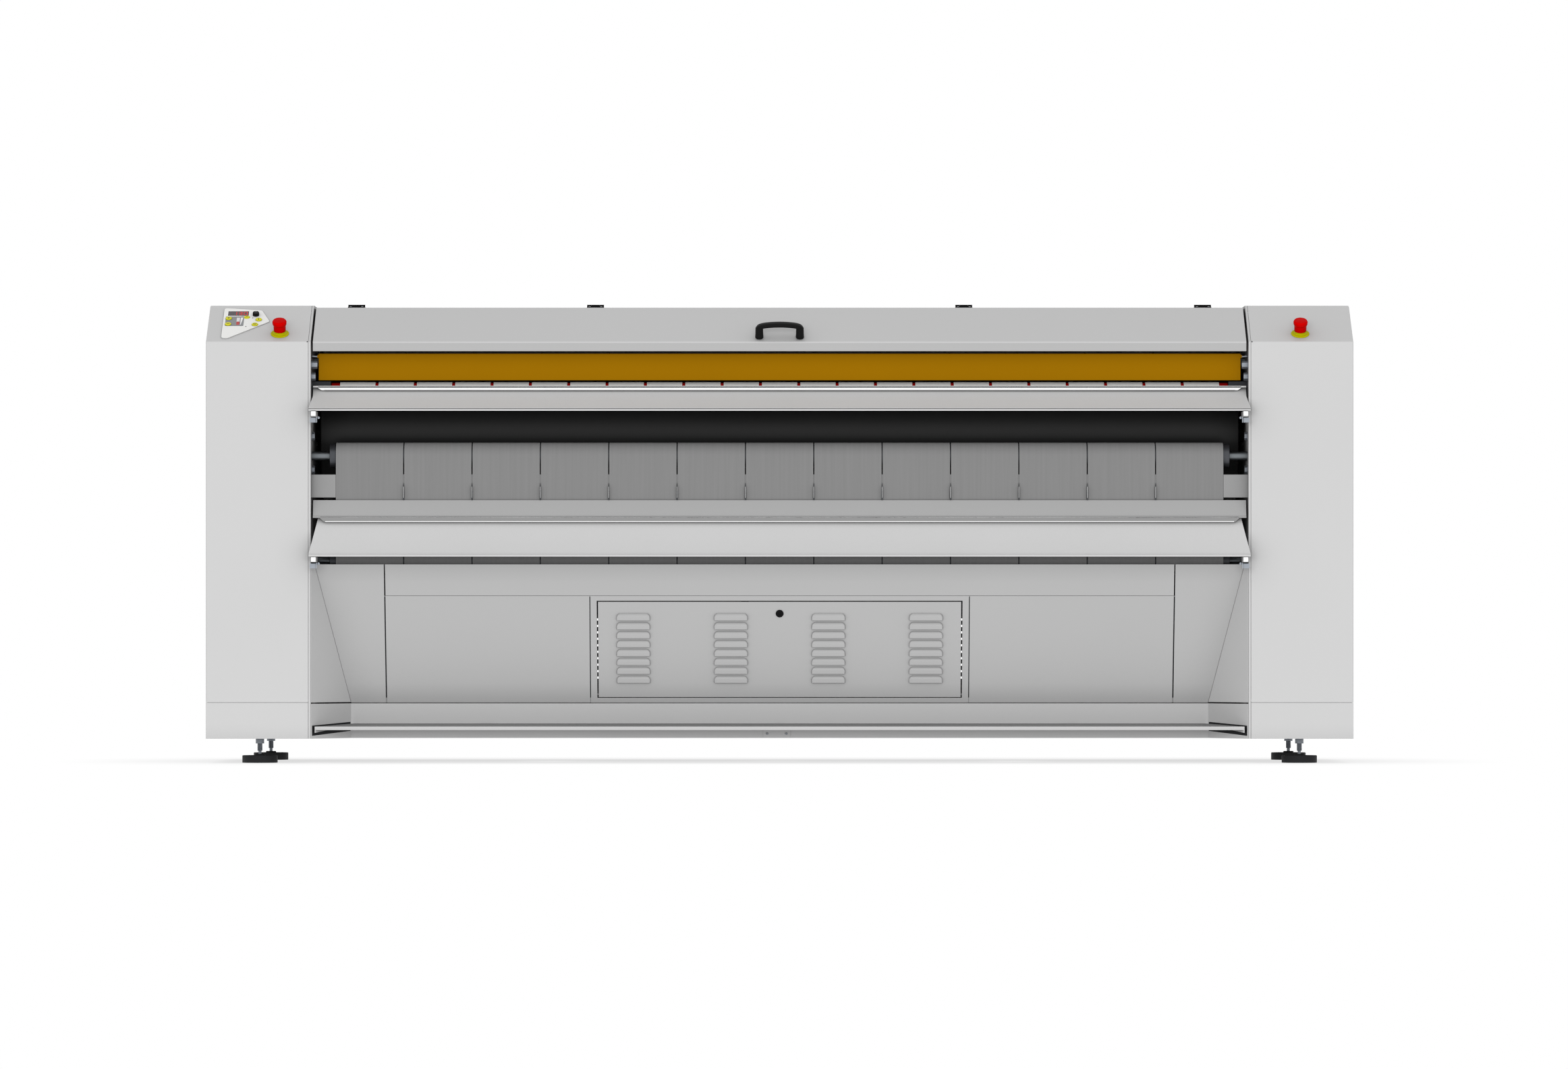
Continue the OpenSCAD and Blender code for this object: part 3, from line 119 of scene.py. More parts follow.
room_glow = 0.60
room = bpy.data.worlds.new("white_room")
room.use_nodes = True
room.node_tree.nodes.clear()
seen = seen_directly(room.node_tree)
glow = node(room.node_tree, "Background", {"Color": linear("ffffff"), "Strength": room_glow})
backdrop = node(room.node_tree, "Background", {"Color": linear("ffffff"), "Strength": 1.0})
mixed = node(room.node_tree, "MixShader", {0: seen, 1: glow.outputs[0], 2: backdrop.outputs[0]})
node(room.node_tree, "OutputWorld", {"Surface": mixed.outputs[0]})
bpy.context.scene.world = room

floor_half = 60.0
floor_glow = 0.75
shadow_reach = 0.45
shadow_least = 0.7
floor_mesh = bpy.data.meshes.new("floor")
floor_mesh.from_pydata([(-floor_half, -floor_half, 0), (floor_half, -floor_half, 0),
                        (floor_half, floor_half, 0), (-floor_half, floor_half, 0)], [], [(0, 1, 2, 3)])
floor = bpy.data.objects.new("floor", floor_mesh)
bpy.context.scene.collection.objects.link(floor)
floor_paint = bpy.data.materials.new("pale_floor")
floor_paint.use_nodes = True
tree = floor_paint.node_tree
tree.nodes.clear()
lit = node(tree, "Emission", {"Color": linear("ffffff"), "Strength": floor_glow})
near = node(tree, "AmbientOcclusion", {"Distance": shadow_reach}, samples=16).outputs["AO"]
shadow = node(tree, "MapRange", {0: near, 3: shadow_least, 4: 1.0})
white = node(tree, "Emission", {"Color": linear("ffffff"), "Strength": shadow.outputs[0]})
shown = node(tree, "MixShader", {0: seen_directly(tree), 1: lit.outputs[0], 2: white.outputs[0]})
node(tree, "OutputMaterial", {"Surface": shown.outputs[0]})
floor_mesh.materials.append(floor_paint)

front_light = bpy.data.lights.new("front_softbox", "AREA")
front_light.shape = "RECTANGLE"
front_light.size = 16.0
front_light.size_y = 7.0
front_light.energy = 2400.0
softbox = bpy.data.objects.new("front_softbox", front_light)
softbox.location = (-1.0, -22.0, 3.0)
softbox.rotation_euler = (math.radians(85), 0, math.radians(-2))
bpy.context.scene.collection.objects.link(softbox)
softbox.visible_camera = False
softbox.visible_glossy = False


# Column covers: wraps of 1.5 mm steel sheet, folded over a 4 mm radius and closed by the side panel.
# Pale grey powder coat, which gives a soft sheen and a faint orange peel.
def painted_corner_shade(tree, deepest, reach):
    """Painted shade: a factor below 1 in gaps and inside corners, found by ambient occlusion, that darkens a
    colour.
    """
    open_sky = node(tree, "AmbientOcclusion", {"Distance": reach}, samples=8).outputs["AO"]
    return node(tree, "MapRange", {0: open_sky, 3: deepest, 4: 1.0}).outputs[0]


drift_per_m = 3.0
gloss_drift = 0.04
peel_depth = 0.0005


def coat(name, colour, roughness=0.45, peel_mm=1.6, peel=0.03, mottle=0.02, metallic=0.0, shine=0.3,
         painted_shade_least=0.4, reach=0.11):
    """A sprayed or rolled surface: base colour with a slow drift, and a fine bump of a given grain.

    In inside corners of the given reach, in metres, the colour is darkened as painted shade, down to the
    given least share of itself."""
    paint = bpy.data.materials.new(name)
    paint.use_nodes = True
    tree = paint.node_tree
    tree.nodes.clear()
    place = node(tree, "TexCoord").outputs["Object"]
    drift = node(tree, "TexNoise", {"Vector": place, "Scale": drift_per_m, "Detail": 4.0})
    ramp = node(tree, "MapRange", {0: drift.outputs["Fac"], 3: 1 - mottle, 4: 1 + mottle})
    corners = painted_corner_shade(tree, painted_shade_least, reach)
    depth = node(tree, "Math", {0: ramp.outputs[0], 1: corners}, operation="MULTIPLY")
    tint = node(tree, "VectorMath", {0: linear(colour)[:3], "Scale": depth.outputs[0]}, operation="SCALE")
    grain = node(tree, "TexNoise", {"Vector": place, "Scale": 1000 / peel_mm, "Detail": 2.0})
    bump = node(tree, "Bump", {"Strength": peel, "Distance": peel_depth, "Height": grain.outputs["Fac"]})
    gloss = node(tree, "MapRange", {0: drift.outputs["Fac"], 3: roughness - gloss_drift,
                                    4: roughness + gloss_drift})
    skin = node(tree, "BsdfPrincipled", {"Base Color": tint.outputs[0], "Roughness": gloss.outputs[0],
                                         "Metallic": metallic, "Specular IOR Level": shine,
                                         "Normal": bump.outputs[0]})
    node(tree, "OutputMaterial", {"Surface": skin.outputs[0]})
    return paint


def fillet(path, radius, steps=5):
    """Rounds each inner corner of a path of (depth, height) points with an arc of the given radius."""
    path = np.array(path, float)
    out = [path[:1]]
    for before, at, after in zip(path[:-2], path[1:-1], path[2:]):
        back, ahead = before - at, after - at
        u, v = back / np.linalg.norm(back), ahead / np.linalg.norm(ahead)
        half = math.acos(np.clip(u @ v, -1, 1)) / 2
        reach = min(radius / math.tan(half), 0.45 * np.linalg.norm(back), 0.45 * np.linalg.norm(ahead))
        r = reach * math.tan(half)
        middle = at + (u + v) / np.linalg.norm(u + v) * r / math.sin(half)
        start, end = at + u * reach - middle, at + v * reach - middle
        turn = math.atan2(start[0] * end[1] - start[1] * end[0], start @ end)
        k = np.linspace(0, 1, steps + 1) * turn
        out.append(middle + np.stack([start[0] * np.cos(k) - start[1] * np.sin(k),
                                      start[0] * np.sin(k) + start[1] * np.cos(k)], 1))
    return np.vstack(out + [path[-1:]])


def grid_faces(rows, columns, start=0, closed=False):
    """Quads of a grid of points that is stored row by row; closed joins its last column to its first."""
    last = columns if closed else columns - 1
    i, j = np.meshgrid(np.arange(rows - 1), np.arange(last), indexing="ij")
    k = (j + 1) % columns
    a, b = i * columns + j, i * columns + k
    return (start + np.stack([a, b, b + columns, a + columns], -1)).reshape(-1, 4)


def closed_faces(rows, columns):
    """Quads of a grid of points that closes round, with a face over its first and its last row."""
    faces = grid_faces(rows, columns, closed=True).tolist()
    faces += [list(range(columns))[::-1], list(range((rows - 1) * columns, rows * columns))]
    return faces


def piece(name, body, slot, material, points, faces, replaces=(), sharp=35, uv=None):
    """Makes one finished piece from points and faces, with its place in its mesh, riding on a body."""
    mesh = bpy.data.meshes.new(name)
    points = np.asarray(points, float).reshape(-1, 3)
    mesh.from_pydata(points.tolist(), [], [list(map(int, face)) for face in faces])
    mesh.validate()
    if uv is not None:
        loops = np.empty(len(mesh.loops), np.int32)
        mesh.loops.foreach_get("vertex_index", loops)
        layer = mesh.uv_layers.new(name="weave")
        layer.data.foreach_set("uv", np.asarray(uv, np.float32)[loops].ravel())
    mesh.shade_smooth()
    mesh.set_sharp_from_angle(angle=math.radians(sharp))
    mesh.materials.append(material)
    made = bpy.data.objects.new(name, mesh)
    bpy.context.scene.collection.objects.link(made)
    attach(made, body)
    if replaces:
        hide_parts(*replaces)
    return made


def even_shading(made):
    """Shades flat faces flat right up to their folds and rounded edges."""
    if "even" in made.modifiers:
        made.modifiers.remove(made.modifiers["even"])
    even = made.modifiers.new("even", "WEIGHTED_NORMAL")
    even.keep_sharp = True
    return made


def wall(made, thickness, inward=-1):
    """Gives an open surface the thickness of its sheet, on the side away from its normals."""
    solid = made.modifiers.new("sheet", "SOLIDIFY")
    solid.thickness = thickness
    solid.offset = inward
    solid.use_even_offset = True
    return even_shading(made)


def placed(points, matrix):
    """Moves points by a matrix."""
    turn = np.array(matrix)
    return np.asarray(points, float) @ turn[:3, :3].T + turn[:3, 3]


def prism(outline, low, high, matrix=Matrix.Identity(4)):
    """A flat outline of (x, y) points, counterclockwise, made solid from height low to height high."""
    outline = np.asarray(outline, float)
    n = len(outline)
    points = np.vstack([np.column_stack([outline, np.full(n, z)]) for z in (low, high)])
    return placed(points, matrix), closed_faces(2, n)


def disc(radius, centre=(0, 0), sides=48):
    """Points of a circle, counterclockwise."""
    a = np.arange(sides) * 2 * np.pi / sides
    return np.stack([centre[0] + radius * np.cos(a), centre[1] + radius * np.sin(a)], 1)


hole_edge_angle = 30


def punch(made, points, faces):
    """Cuts a closed shape out of a piece for good, as a punch does."""
    mesh = bpy.data.meshes.new("punch")
    mesh.from_pydata(np.asarray(points).tolist(), [], faces)
    tool = bpy.data.objects.new("punch", mesh)
    bpy.context.scene.collection.objects.link(tool)
    hole = made.modifiers.new("hole", "BOOLEAN")
    hole.operation = "DIFFERENCE"
    hole.solver = "EXACT"
    hole.object = tool
    depsgraph = bpy.context.evaluated_depsgraph_get()
    result = bpy.data.meshes.new_from_object(made.evaluated_get(depsgraph))
    made.modifiers.clear()
    made.data = result
    result.set_sharp_from_angle(angle=math.radians(hole_edge_angle))
    even_shading(made)
    bpy.data.objects.remove(tool)


def ease(made, radius, segments=2, angle=40):
    """Rounds the edges of a piece that are sharper than the angle."""
    bevel = made.modifiers.new("ease", "BEVEL")
    bevel.width = radius
    bevel.segments = segments
    bevel.limit_method = "ANGLE"
    bevel.angle_limit = math.radians(angle)
    return even_shading(made)


cover_paint = coat("powder_coat_pale_grey", "cbcbcb", roughness=0.42)
cover_t = 0.0015
fold_r = 0.004
fold_steps = 6
bend_z = 1.141
slope_run = 0.180
column_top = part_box("left_cover")[1].z
slope_angle = math.atan2(column_top - bend_z, slope_run)
slope = (Matrix.Translation((0, column_front, bend_z)) @ Matrix.Rotation(slope_angle, 4, "X"))


def column_ring(inset, low, back):
    """Side view of a column, drawn in by an inset that keeps each face parallel to itself."""
    lower = inset * math.tan((math.pi / 2 - slope_angle) / 2)
    upper = inset * math.tan(slope_angle / 2)
    return fillet([(column_front + inset, low), (column_front + inset, bend_z - lower),
                   (column_front + slope_run + upper, column_top - inset), (back, column_top - inset)],
                  fold_r, fold_steps)


def column_cover(cad, side):
    """The wrap runs across to the outer edge, turns over the fold, and ends in the flat side panel."""
    low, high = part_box(cad)
    inner, outer = sorted((abs(low.x), abs(high.x)))
    turn = np.linspace(0, math.pi / 2, fold_steps + 1)
    x = np.concatenate([[inner], outer - fold_r + fold_r * np.sin(turn)])
    inset = np.concatenate([[0], fold_r * (1 - np.cos(turn))])
    rings = [column_ring(g, low.z, high.y) for g in inset]
    n = len(rings[0])
    points = np.vstack([np.column_stack([np.full(n, side * a), ring]) for a, ring in zip(x, rings)])
    faces = grid_faces(len(x), n).tolist()
    points = np.vstack([points, [(side * outer, high.y, low.z)]])
    faces.append(list(range((len(x) - 1) * n, len(x) * n + 1)))
    if side > 0:
        faces = [f[::-1] for f in faces]
    made = piece(cad + "_sheet", "machine", "cover_enamel", cover_paint, points, faces, [cad], sharp=25)
    return wall(made, cover_t)


# The left one has a window behind the control plate; both have a round hole for the emergency stop.
estop_up = 0.045
estop_hole_r = 0.0112
panel_up = 0.016
panel_w = 0.128
panel_h = 0.176
panel_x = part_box("control_plate")[0].x
window_shares = np.array([[0.04, 0.165], [0.36, 0.165], [0.92, 0.52], [0.77, 0.88], [0.04, 0.95]])
panel = slope @ Matrix.Translation((panel_x, panel_up, 0))
punch_depth = 0.006
for cad, cap, side in (("left_cover", "left_estop_cap", -1), ("right_cover", "right_estop_cap", 1)):
    made = column_cover(cad, side)
    cap_low, cap_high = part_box(cap)
    hole = disc(estop_hole_r, ((cap_low.x + cap_high.x) / 2, estop_up))
    punch(made, *prism(hole, -punch_depth, punch_depth, slope))
    if side < 0:
        window = window_shares * (panel_w, panel_h)
        punch(made, *prism(window, -punch_depth, punch_depth, panel))

# A relief notch of 3 mm at the inner end of each front fold, shown by a thin dark disc of painted shade.
dark_painted_shade = coat("painted_shade_near_black", "1c1d1f", roughness=0.8)
notch_r = 0.0015
notch_lean = math.radians(30)
notch_in = 1.6 * notch_r
for side in (-1, 1):
    notch_x = side * (abs(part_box("left_cover")[1].x) + notch_in)
    spot = slope @ Matrix.Translation((notch_x, 0, 0)) @ Matrix.Rotation(notch_lean, 4, "X")
    piece("relief_notch_%s" % ("left" if side < 0 else "right"), "machine", "cover_enamel", dark_painted_shade,
          *prism(disc(notch_r, sides=16), -cover_t, cover_t / 8, spot))


# Plinth covers, side frames, top cover and rear covers: folded and laser-cut sheet.
# Edges that show are broken by 0.4 mm; the frames show as a narrow strip beside each cover.
slot_of = {s["node"]: s["material_slot"] for s in frame["record"]["subparts"]}


def dress(cad, material):
    """Gives a CAD node its finish."""
    mesh = frame["nodes"][cad].data
    mesh.materials.clear()
    mesh.materials.append(material)


def broken(cad, radius, material, segments=2, angle=35):
    """Stands for a CAD node with a welded copy whose sharp edges are broken by a small radius."""
    source = frame["nodes"][cad]
    mesh = source.data.copy()
    work = bmesh.new()
    work.from_mesh(mesh)
    bmesh.ops.remove_doubles(work, verts=work.verts, dist=1e-5)
    bmesh.ops.dissolve_limit(work, angle_limit=math.radians(1), verts=work.verts, edges=work.edges)
    work.to_mesh(mesh)
    work.free()
    mesh.materials.clear()
    mesh.materials.append(material)
    mesh.shade_smooth()
    mesh.set_sharp_from_angle(angle=math.radians(angle))
    made = bpy.data.objects.new(cad + "_part", mesh)
    bpy.context.scene.collection.objects.link(made)
    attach(made, source["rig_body"])
    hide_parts(cad)
    return ease(made, radius, segments, angle)


edge_break = 0.0004
frame_paint = coat("powder_coat_frame_grey", "c6c6c6", roughness=0.5)
pan_paint = coat("powder_coat_base_grey", "808284", roughness=0.55)
broken("plinth_covers", edge_break, cover_paint)
dress("side_frames", frame_paint)
dress("base_frame", pan_paint)
hood_paint = coat("powder_coat_hood_grey", "c6c6c6", roughness=0.45)
broken("top_cover", edge_break, hood_paint)
dress("rear_covers", cover_paint)


# Hood: one 2 mm sheet folded twice, hemmed along its front lip, with a gusset plate in each end.
# Smooth satin powder coat, a shade darker than the columns; the upright lip is coloured darker again, as
# painted shade.
def across(path, x0, x1, columns=2):
    """A side-view path of (y, z) points carried along x, from x0 to x1, which may change along it."""
    path = np.asarray(path, float)
    t = np.linspace(0, 1, columns)
    x0 = np.broadcast_to(x0, len(path))[:, None]
    x1 = np.broadcast_to(x1, len(path))[:, None]
    x = x0 + (x1 - x0) * t
    y, z = (np.broadcast_to(path[:, k:k + 1], x.shape) for k in (0, 1))
    return np.stack([x, y, z], -1).reshape(-1, 3), grid_faces(len(path), columns)


hood_low, hood_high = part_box("hood")
hood_t = 0.002
hood_fold_r = 0.006
hem = 0.012
hem_gap = 0.0006
lip_back = hood_low.y + hood_t
hem_y = lip_back + hood_t + hem_gap
knee_y = hood_low.y + (hood_high.z - bend_z) / math.tan(slope_angle)
hood_path = fillet([(hem_y, hood_low.z + hem), (hem_y, hood_low.z), (hood_low.y, hood_low.z),
                    (hood_low.y, bend_z), (knee_y, hood_high.z), (hood_high.y, hood_high.z)],
                   hood_fold_r, fold_steps)
made = piece("hood_sheet", "hood", "front_enamel", hood_paint,
             *across(hood_path, hood_low.x, hood_high.x), ["hood"], sharp=25)
# The upright lip below the fold takes a darker copy of the hood's paint, as painted shade.
hood_lip_shade_paint = coat("hood_lip_painted_shade_grey", "b3b3b3", roughness=0.45)
made.data.materials.append(hood_lip_shade_paint)
for face in made.data.polygons:
    if face.center.z < bend_z - hood_fold_r:
        face.material_index = 1
hood_wall_share = 0.9
wall(made, hood_t * hood_wall_share)
ease(made, edge_break)

# End gussets: plates of the same sheet that follow its inside.
gusset_gap = 0.001
gusset_drop = 0.0165
gusset_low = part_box("hood_hinge_leaves")[0].z - gusset_drop
gusset = np.array([(lip_back, hood_low.z + gusset_gap), (lip_back, bend_z - hood_t / 2),
                   (knee_y + hood_t / 2, hood_high.z - hood_t), (hood_high.y, hood_high.z - hood_t),
                   (hood_high.y, gusset_low)])
side_on = Matrix(((0, 0, 1, 0), (1, 0, 0, 0), (0, 1, 0, 0), (0, 0, 0, 1)))
for side, word in ((-1, "left"), (1, "right")):
    outer = side * hood_high.x
    faces_x = sorted((outer, outer - side * hood_t))
    made = piece("hood_gusset_" + word, "hood", "front_enamel", hood_paint,
                 *prism(gusset[::-1], *faces_x, side_on))
    ease(made, edge_break)

# Bow handle: a moulded grip on two round legs. Black polyamide with a fine spark-eroded grain.
# The grip's section is a rounded rectangle that rides on a shallow arch.
handle_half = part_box("hood_handle")[1].x
leg_r = 0.0115
grip_up = 0.022
rise = 0.047
moulded_black = coat("moulded_polyamide_black", "0c0c0c", roughness=0.45, peel_mm=0.9, peel=0.12,
                     mottle=0.05, shine=0.12)


def tube(path, side, up, matrix, power=2.6, sides=24):
    """A section carried along a path: a rounded oval of half widths side and up, across each point.

    The section's corners are those of |u|^p + |v|^p = 1. The path lies in the plane y = 0."""
    path = np.asarray(path, float)
    ahead = np.gradient(path, axis=0)
    ahead /= np.linalg.norm(ahead, axis=1)[:, None]
    normal = np.stack([-ahead[:, 2], np.zeros(len(path)), ahead[:, 0]], 1)
    a = np.arange(sides) * 2 * np.pi / sides
    u = np.sign(np.cos(a)) * np.abs(np.cos(a)) ** (2 / power)
    v = np.sign(np.sin(a)) * np.abs(np.sin(a)) ** (2 / power)
    side = np.broadcast_to(side, len(path))[:, None, None] * u[None, :, None]
    up = np.broadcast_to(up, len(path))[:, None, None] * v[None, :, None]
    points = path[:, None] + side * np.array([0, 1, 0]) + up * normal[:, None]
    return placed(points.reshape(-1, 3), matrix), [face[::-1] for face in closed_faces(len(path), sides)]


handle_place = slope @ Matrix.Translation((0, grip_up, 0))
grip_t = 0.0065
grip_w = 0.0105
grip_end = 0.0035
arch = 0.007
t = np.linspace(-1, 1, 41)
leg_x = handle_half - leg_r
grip_z = rise - grip_t - arch * t ** 2 * (1 + 0.6 * t ** 6)
grip_path = np.stack([t * (handle_half - grip_end), 0 * t, grip_z], 1)
swell = np.sqrt(np.clip(1 - np.abs(t) ** 14, 0.02, 1))
points, faces = tube(grip_path, grip_w * swell, grip_t * swell, handle_place)
piece("handle_grip", "hood", "black_plastic", moulded_black, points, faces, ["hood_handle"])


def spun(profile, sides):
    """A profile of (radius, height) points spun round the z axis, row by row."""
    r, h = np.array(profile, float).T
    a = np.arange(sides) * 2 * np.pi / sides
    return np.stack([r[:, None] * np.cos(a), r[:, None] * np.sin(a),
                     np.broadcast_to(h[:, None], (len(r), sides))], -1).reshape(-1, 3)


def turned(profile, matrix, sides=48):
    """A profile spun round the matrix's z axis, listed upwards on the outside, closed at both ends."""
    return placed(spun(profile, sides), matrix), closed_faces(len(profile), sides)


def gathered(parts):
    """Joins several (points, faces) into one."""
    points, faces, start = [], [], 0
    for p, f in parts:
        points.append(p)
        faces += [[start + i for i in face] for face in f]
        start += len(p)
    return np.vstack(points), faces


leg_shoulder = rise - 0.016
leg_top = rise - 0.0105
leg_round = 0.003
leg = fillet([(leg_r * 0.2, 0), (leg_r, 0), (leg_r * 0.93, 0.3 * rise), (leg_r * 0.9, leg_shoulder),
              (leg_r * 0.55, leg_top), (leg_r * 0.1, leg_top)], leg_round, 4)
piece("handle_legs", "hood", "black_plastic", moulded_black,
      *gathered([turned(leg, handle_place @ Matrix.Translation((s * leg_x, 0, 0)), 32) for s in (-1, 1)]))

# Hinges: black zinc-alloy leaves with a knuckle of three, each leaf held by two socket screws.
hinge_edge = 0.0006
cast_black = coat("black_coated_zinc_alloy", "0d0d0e", roughness=0.45, peel_mm=1.2, peel=0.05,
                  mottle=0.05, shine=0.1)
broken("hood_hinge_leaves", hinge_edge, cast_black)
broken("fixed_hinge_leaves", hinge_edge, cast_black)
screw_steel = coat("bright_zinc_plated_screw", "a9adb2", roughness=0.3, metallic=1.0, peel=0.02)


def screw_head(matrix, radius, height, socket=0.5, sides=24):
    """A pan head with a hexagon socket: a domed disc whose middle drops into a six-sided hole."""
    dome = fillet([(radius, 0), (radius, height * 0.45), (radius * 0.72, height), (radius * socket, height)],
                  radius * 0.25, 3)
    points, faces = turned(np.vstack([dome, [(radius * socket * 0.98, height * 0.35)]]), matrix, sides)
    rings = points.reshape(-1, sides, 3)
    a = np.arange(sides) * 2 * np.pi / sides
    hexagon = math.cos(math.pi / 6) / np.cos((a + math.pi / 6) % (math.pi / 3) - math.pi / 6)
    for ring in (-2, -1):
        middle = rings[ring].mean(0)
        rings[ring] = middle + (rings[ring] - middle) * (hexagon * 0.93)[:, None]
    return rings.reshape(-1, 3), faces


leaf_down = 0.0066
leaf_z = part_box("fixed_hinge_leaves")[1].z - leaf_down
hinge_y = -0.0742
hood_span = 2.5
hinge_shares = (-0.4631, -0.2016, 0.2016, 0.4631)
screw_off = 0.016
screw_x = [hood_span * share + off for share in hinge_shares for off in (-screw_off, screw_off)]
for body, screw_y in (("hood", hinge_y - 0.017), ("machine", hinge_y + 0.0165)):
    heads = [screw_head(Matrix.Translation((x, screw_y, leaf_z)), 0.0032, 0.0012) for x in screw_x]
    piece("hinge_screws_" + body, body, "zinc_plated", screw_steel, *gathered(heads))


# Finger guard: a 4 mm aluminium strip with rounded long edges, anodised amber, hung on a pin at each end.
# The finish is smooth and a little cloudy; it darkens along the top, where the lip shades it, and its colour
# is darkened there as painted shade.
def rect(x0, y0, x1, y1):
    """Corners of an upright rectangle, counterclockwise."""
    return [(x0, y0), (x1, y0), (x1, y1), (x0, y1)]


guard_low, guard_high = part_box("finger_guard")
guard_half = 1.25
guard_t = 0.004
anodised_amber = coat("anodised_aluminium_amber", "a27100", roughness=0.5, peel_mm=2.2, peel=0.02,
                      mottle=0.05, shine=0.04)
edge = guard_t / 2
middle_y = guard_low.y + edge
a = np.linspace(0, math.pi, 9)
top = np.stack([middle_y - edge * np.cos(a), guard_high.z - edge + edge * np.sin(a)], 1)
bottom = np.stack([middle_y + edge * np.cos(a), guard_low.z + edge - edge * np.sin(a)], 1)
guard_strip = prism(np.vstack([top, bottom])[::-1], -guard_half, guard_half, side_on)
pivot_z = 1.102
pivot_r = 0.0036
tab_half = 0.004
tab_end = guard_half + 0.004
tab = rect(middle_y - edge, pivot_z - tab_half, middle_y + edge, pivot_z + tab_half)
tabs = [prism(tab, *sorted((s * guard_half, s * tab_end)), side_on) for s in (-1, 1)]
made = piece("guard_strip", "guard", "amber_enamel", anodised_amber, *gathered([guard_strip] + tabs),
             ["finger_guard"])
ease(made, edge_break)
pin_from = guard_half + 0.0035
pin_l = guard_high.x - guard_half - 0.005
pin_profile = fillet([(0.001, 0), (pivot_r, 0), (pivot_r, pin_l), (0.001, pin_l)], 0.0006, 2)
pin_places = [Matrix.Translation((s * pin_from, middle_y, pivot_z))
              @ Matrix.Rotation(s * math.pi / 2, 4, "Y") for s in (-1, 1)]
piece("guard_pins", "guard", "zinc_plated", screw_steel,
      *gathered([turned(pin_profile, place, 24) for place in pin_places]))


# Feed belts: 23 endless belts, 96 mm wide and 2 mm thick, round the red roller and a small idler.
# White polyester webbing with a fine weave; each belt is one closed loop with broken edges.
feed_c, feed_r = (75.0, 1003.7), 28.0
idler_c, idler_r = (138.0, 1017.7), 14.0


def belt_route(centres, radii, step=5.0):
    """Outer line of a belt round rollers, in mm of depth and height.

    A roller with a radius below 0 presses on the belt from outside."""
    centres = np.array(centres, float)
    n = len(centres)

    def heading(i, j):
        span = centres[j] - centres[i]
        lean = math.asin((radii[j] - radii[i]) / np.linalg.norm(span))
        return math.degrees(math.atan2(span[1], span[0]) - lean)

    out = []
    for i in range(n):
        start, end = heading(i - 1, i), heading(i, (i + 1) % n)
        sign = math.copysign(1, radii[i])
        turn = sign * ((sign * (end - start) + 720) % 360)
        k = np.radians(start + turn * np.linspace(0, 1, math.ceil(abs(turn) / step) + 1))
        out.append(centres[i] - radii[i] * np.stack([-np.sin(k), np.cos(k)], 1))
    return np.vstack(out)


def belt(centres, radii, x0, x1, low, high, edge=0.4):
    """One belt from x0 to x1 mm, its faces low and high mm off the rollers.

    The UV is the belt's own length and width in metres."""
    section = [(x1, low + edge), (x1, high - edge), (x1 - edge, high), (x0 + edge, high),
               (x0, high - edge), (x0, low + edge), (x0 + edge, low), (x1 - edge, low)]
    rows = []
    for x, off in section:
        route = belt_route(centres, [r + off for r in radii])
        rows.append(np.column_stack([np.full(len(route), x), route + (column_front * 1000, 0)]))
    points = np.stack(rows, 1) / 1000
    count, columns = points.shape[:2]
    faces = grid_faces(count + 1, columns, closed=True) % (count * columns)
    step = np.linalg.norm(np.diff(points[:, 2], axis=0), axis=1)
    length = np.concatenate([[0], np.cumsum(step)])
    uv = np.stack([np.repeat(length, columns), points[:, :, 0].ravel()], 1)
    return points.reshape(-1, 3), faces.tolist(), uv


def belt_set(name, slot, material, loops, cad):
    """Joins like belts into one piece, in which each keeps its own weave."""
    points_and_faces = gathered([loop[:2] for loop in loops])
    weave = np.vstack([loop[2] for loop in loops])
    return piece(name, "machine", slot, material, *points_and_faces, [cad], uv=weave)


fuzz_per_m = 900.0
streaks_per_m = (3.0, 140.0, 1.0)
nap = 0.0004


def cloth(name, colour, thread_mm, relief, streak, roughness=0.9, painted_shade_least=0.45, reach=0.11):
    """Woven or needled cloth: threads both ways on its UV in metres, fuzz, and streaks along the belt.

    A wave texture of scale s repeats every 2 pi / (20 s) metres."""
    paint = bpy.data.materials.new(name)
    paint.use_nodes = True
    tree = paint.node_tree
    tree.nodes.clear()
    place = node(tree, "UVMap", uv_map="weave").outputs[0]
    scale = 2 * math.pi / (20 * thread_mm / 1000)
    warp = node(tree, "TexWave", {"Vector": place, "Scale": scale}, bands_direction="X").outputs["Fac"]
    weft = node(tree, "TexWave", {"Vector": place, "Scale": scale}, bands_direction="Y").outputs["Fac"]
    threads = node(tree, "Math", {0: warp, 1: weft}, operation="MULTIPLY")
    fuzz = node(tree, "TexNoise", {"Vector": place, "Scale": fuzz_per_m, "Detail": 3.0}).outputs["Fac"]
    height = node(tree, "Math", {0: threads.outputs[0], 1: fuzz}, operation="ADD")
    bump = node(tree, "Bump", {"Strength": relief, "Distance": nap, "Height": height.outputs[0]})
    drawn = node(tree, "Mapping", {"Vector": place, "Scale": streaks_per_m})
    marks = node(tree, "TexNoise", {"Vector": drawn.outputs[0], "Scale": 1.0, "Detail": 4.0}).outputs["Fac"]
    shade = node(tree, "MapRange", {0: marks, 1: 0.3, 2: 0.7, 3: 1 - streak, 4: 1 + streak})
    # Painted shade: the colour darkens in gaps and inside corners, as in coat.
    corners = painted_corner_shade(tree, painted_shade_least, reach)
    depth = node(tree, "Math", {0: shade.outputs[0], 1: corners}, operation="MULTIPLY")
    tint = node(tree, "VectorMath", {0: linear(colour)[:3], "Scale": depth.outputs[0]}, operation="SCALE")
    skin = node(tree, "BsdfPrincipled", {"Base Color": tint.outputs[0], "Roughness": roughness,
                                         "Normal": bump.outputs[0]})
    node(tree, "OutputMaterial", {"Surface": skin.outputs[0]})
    return paint


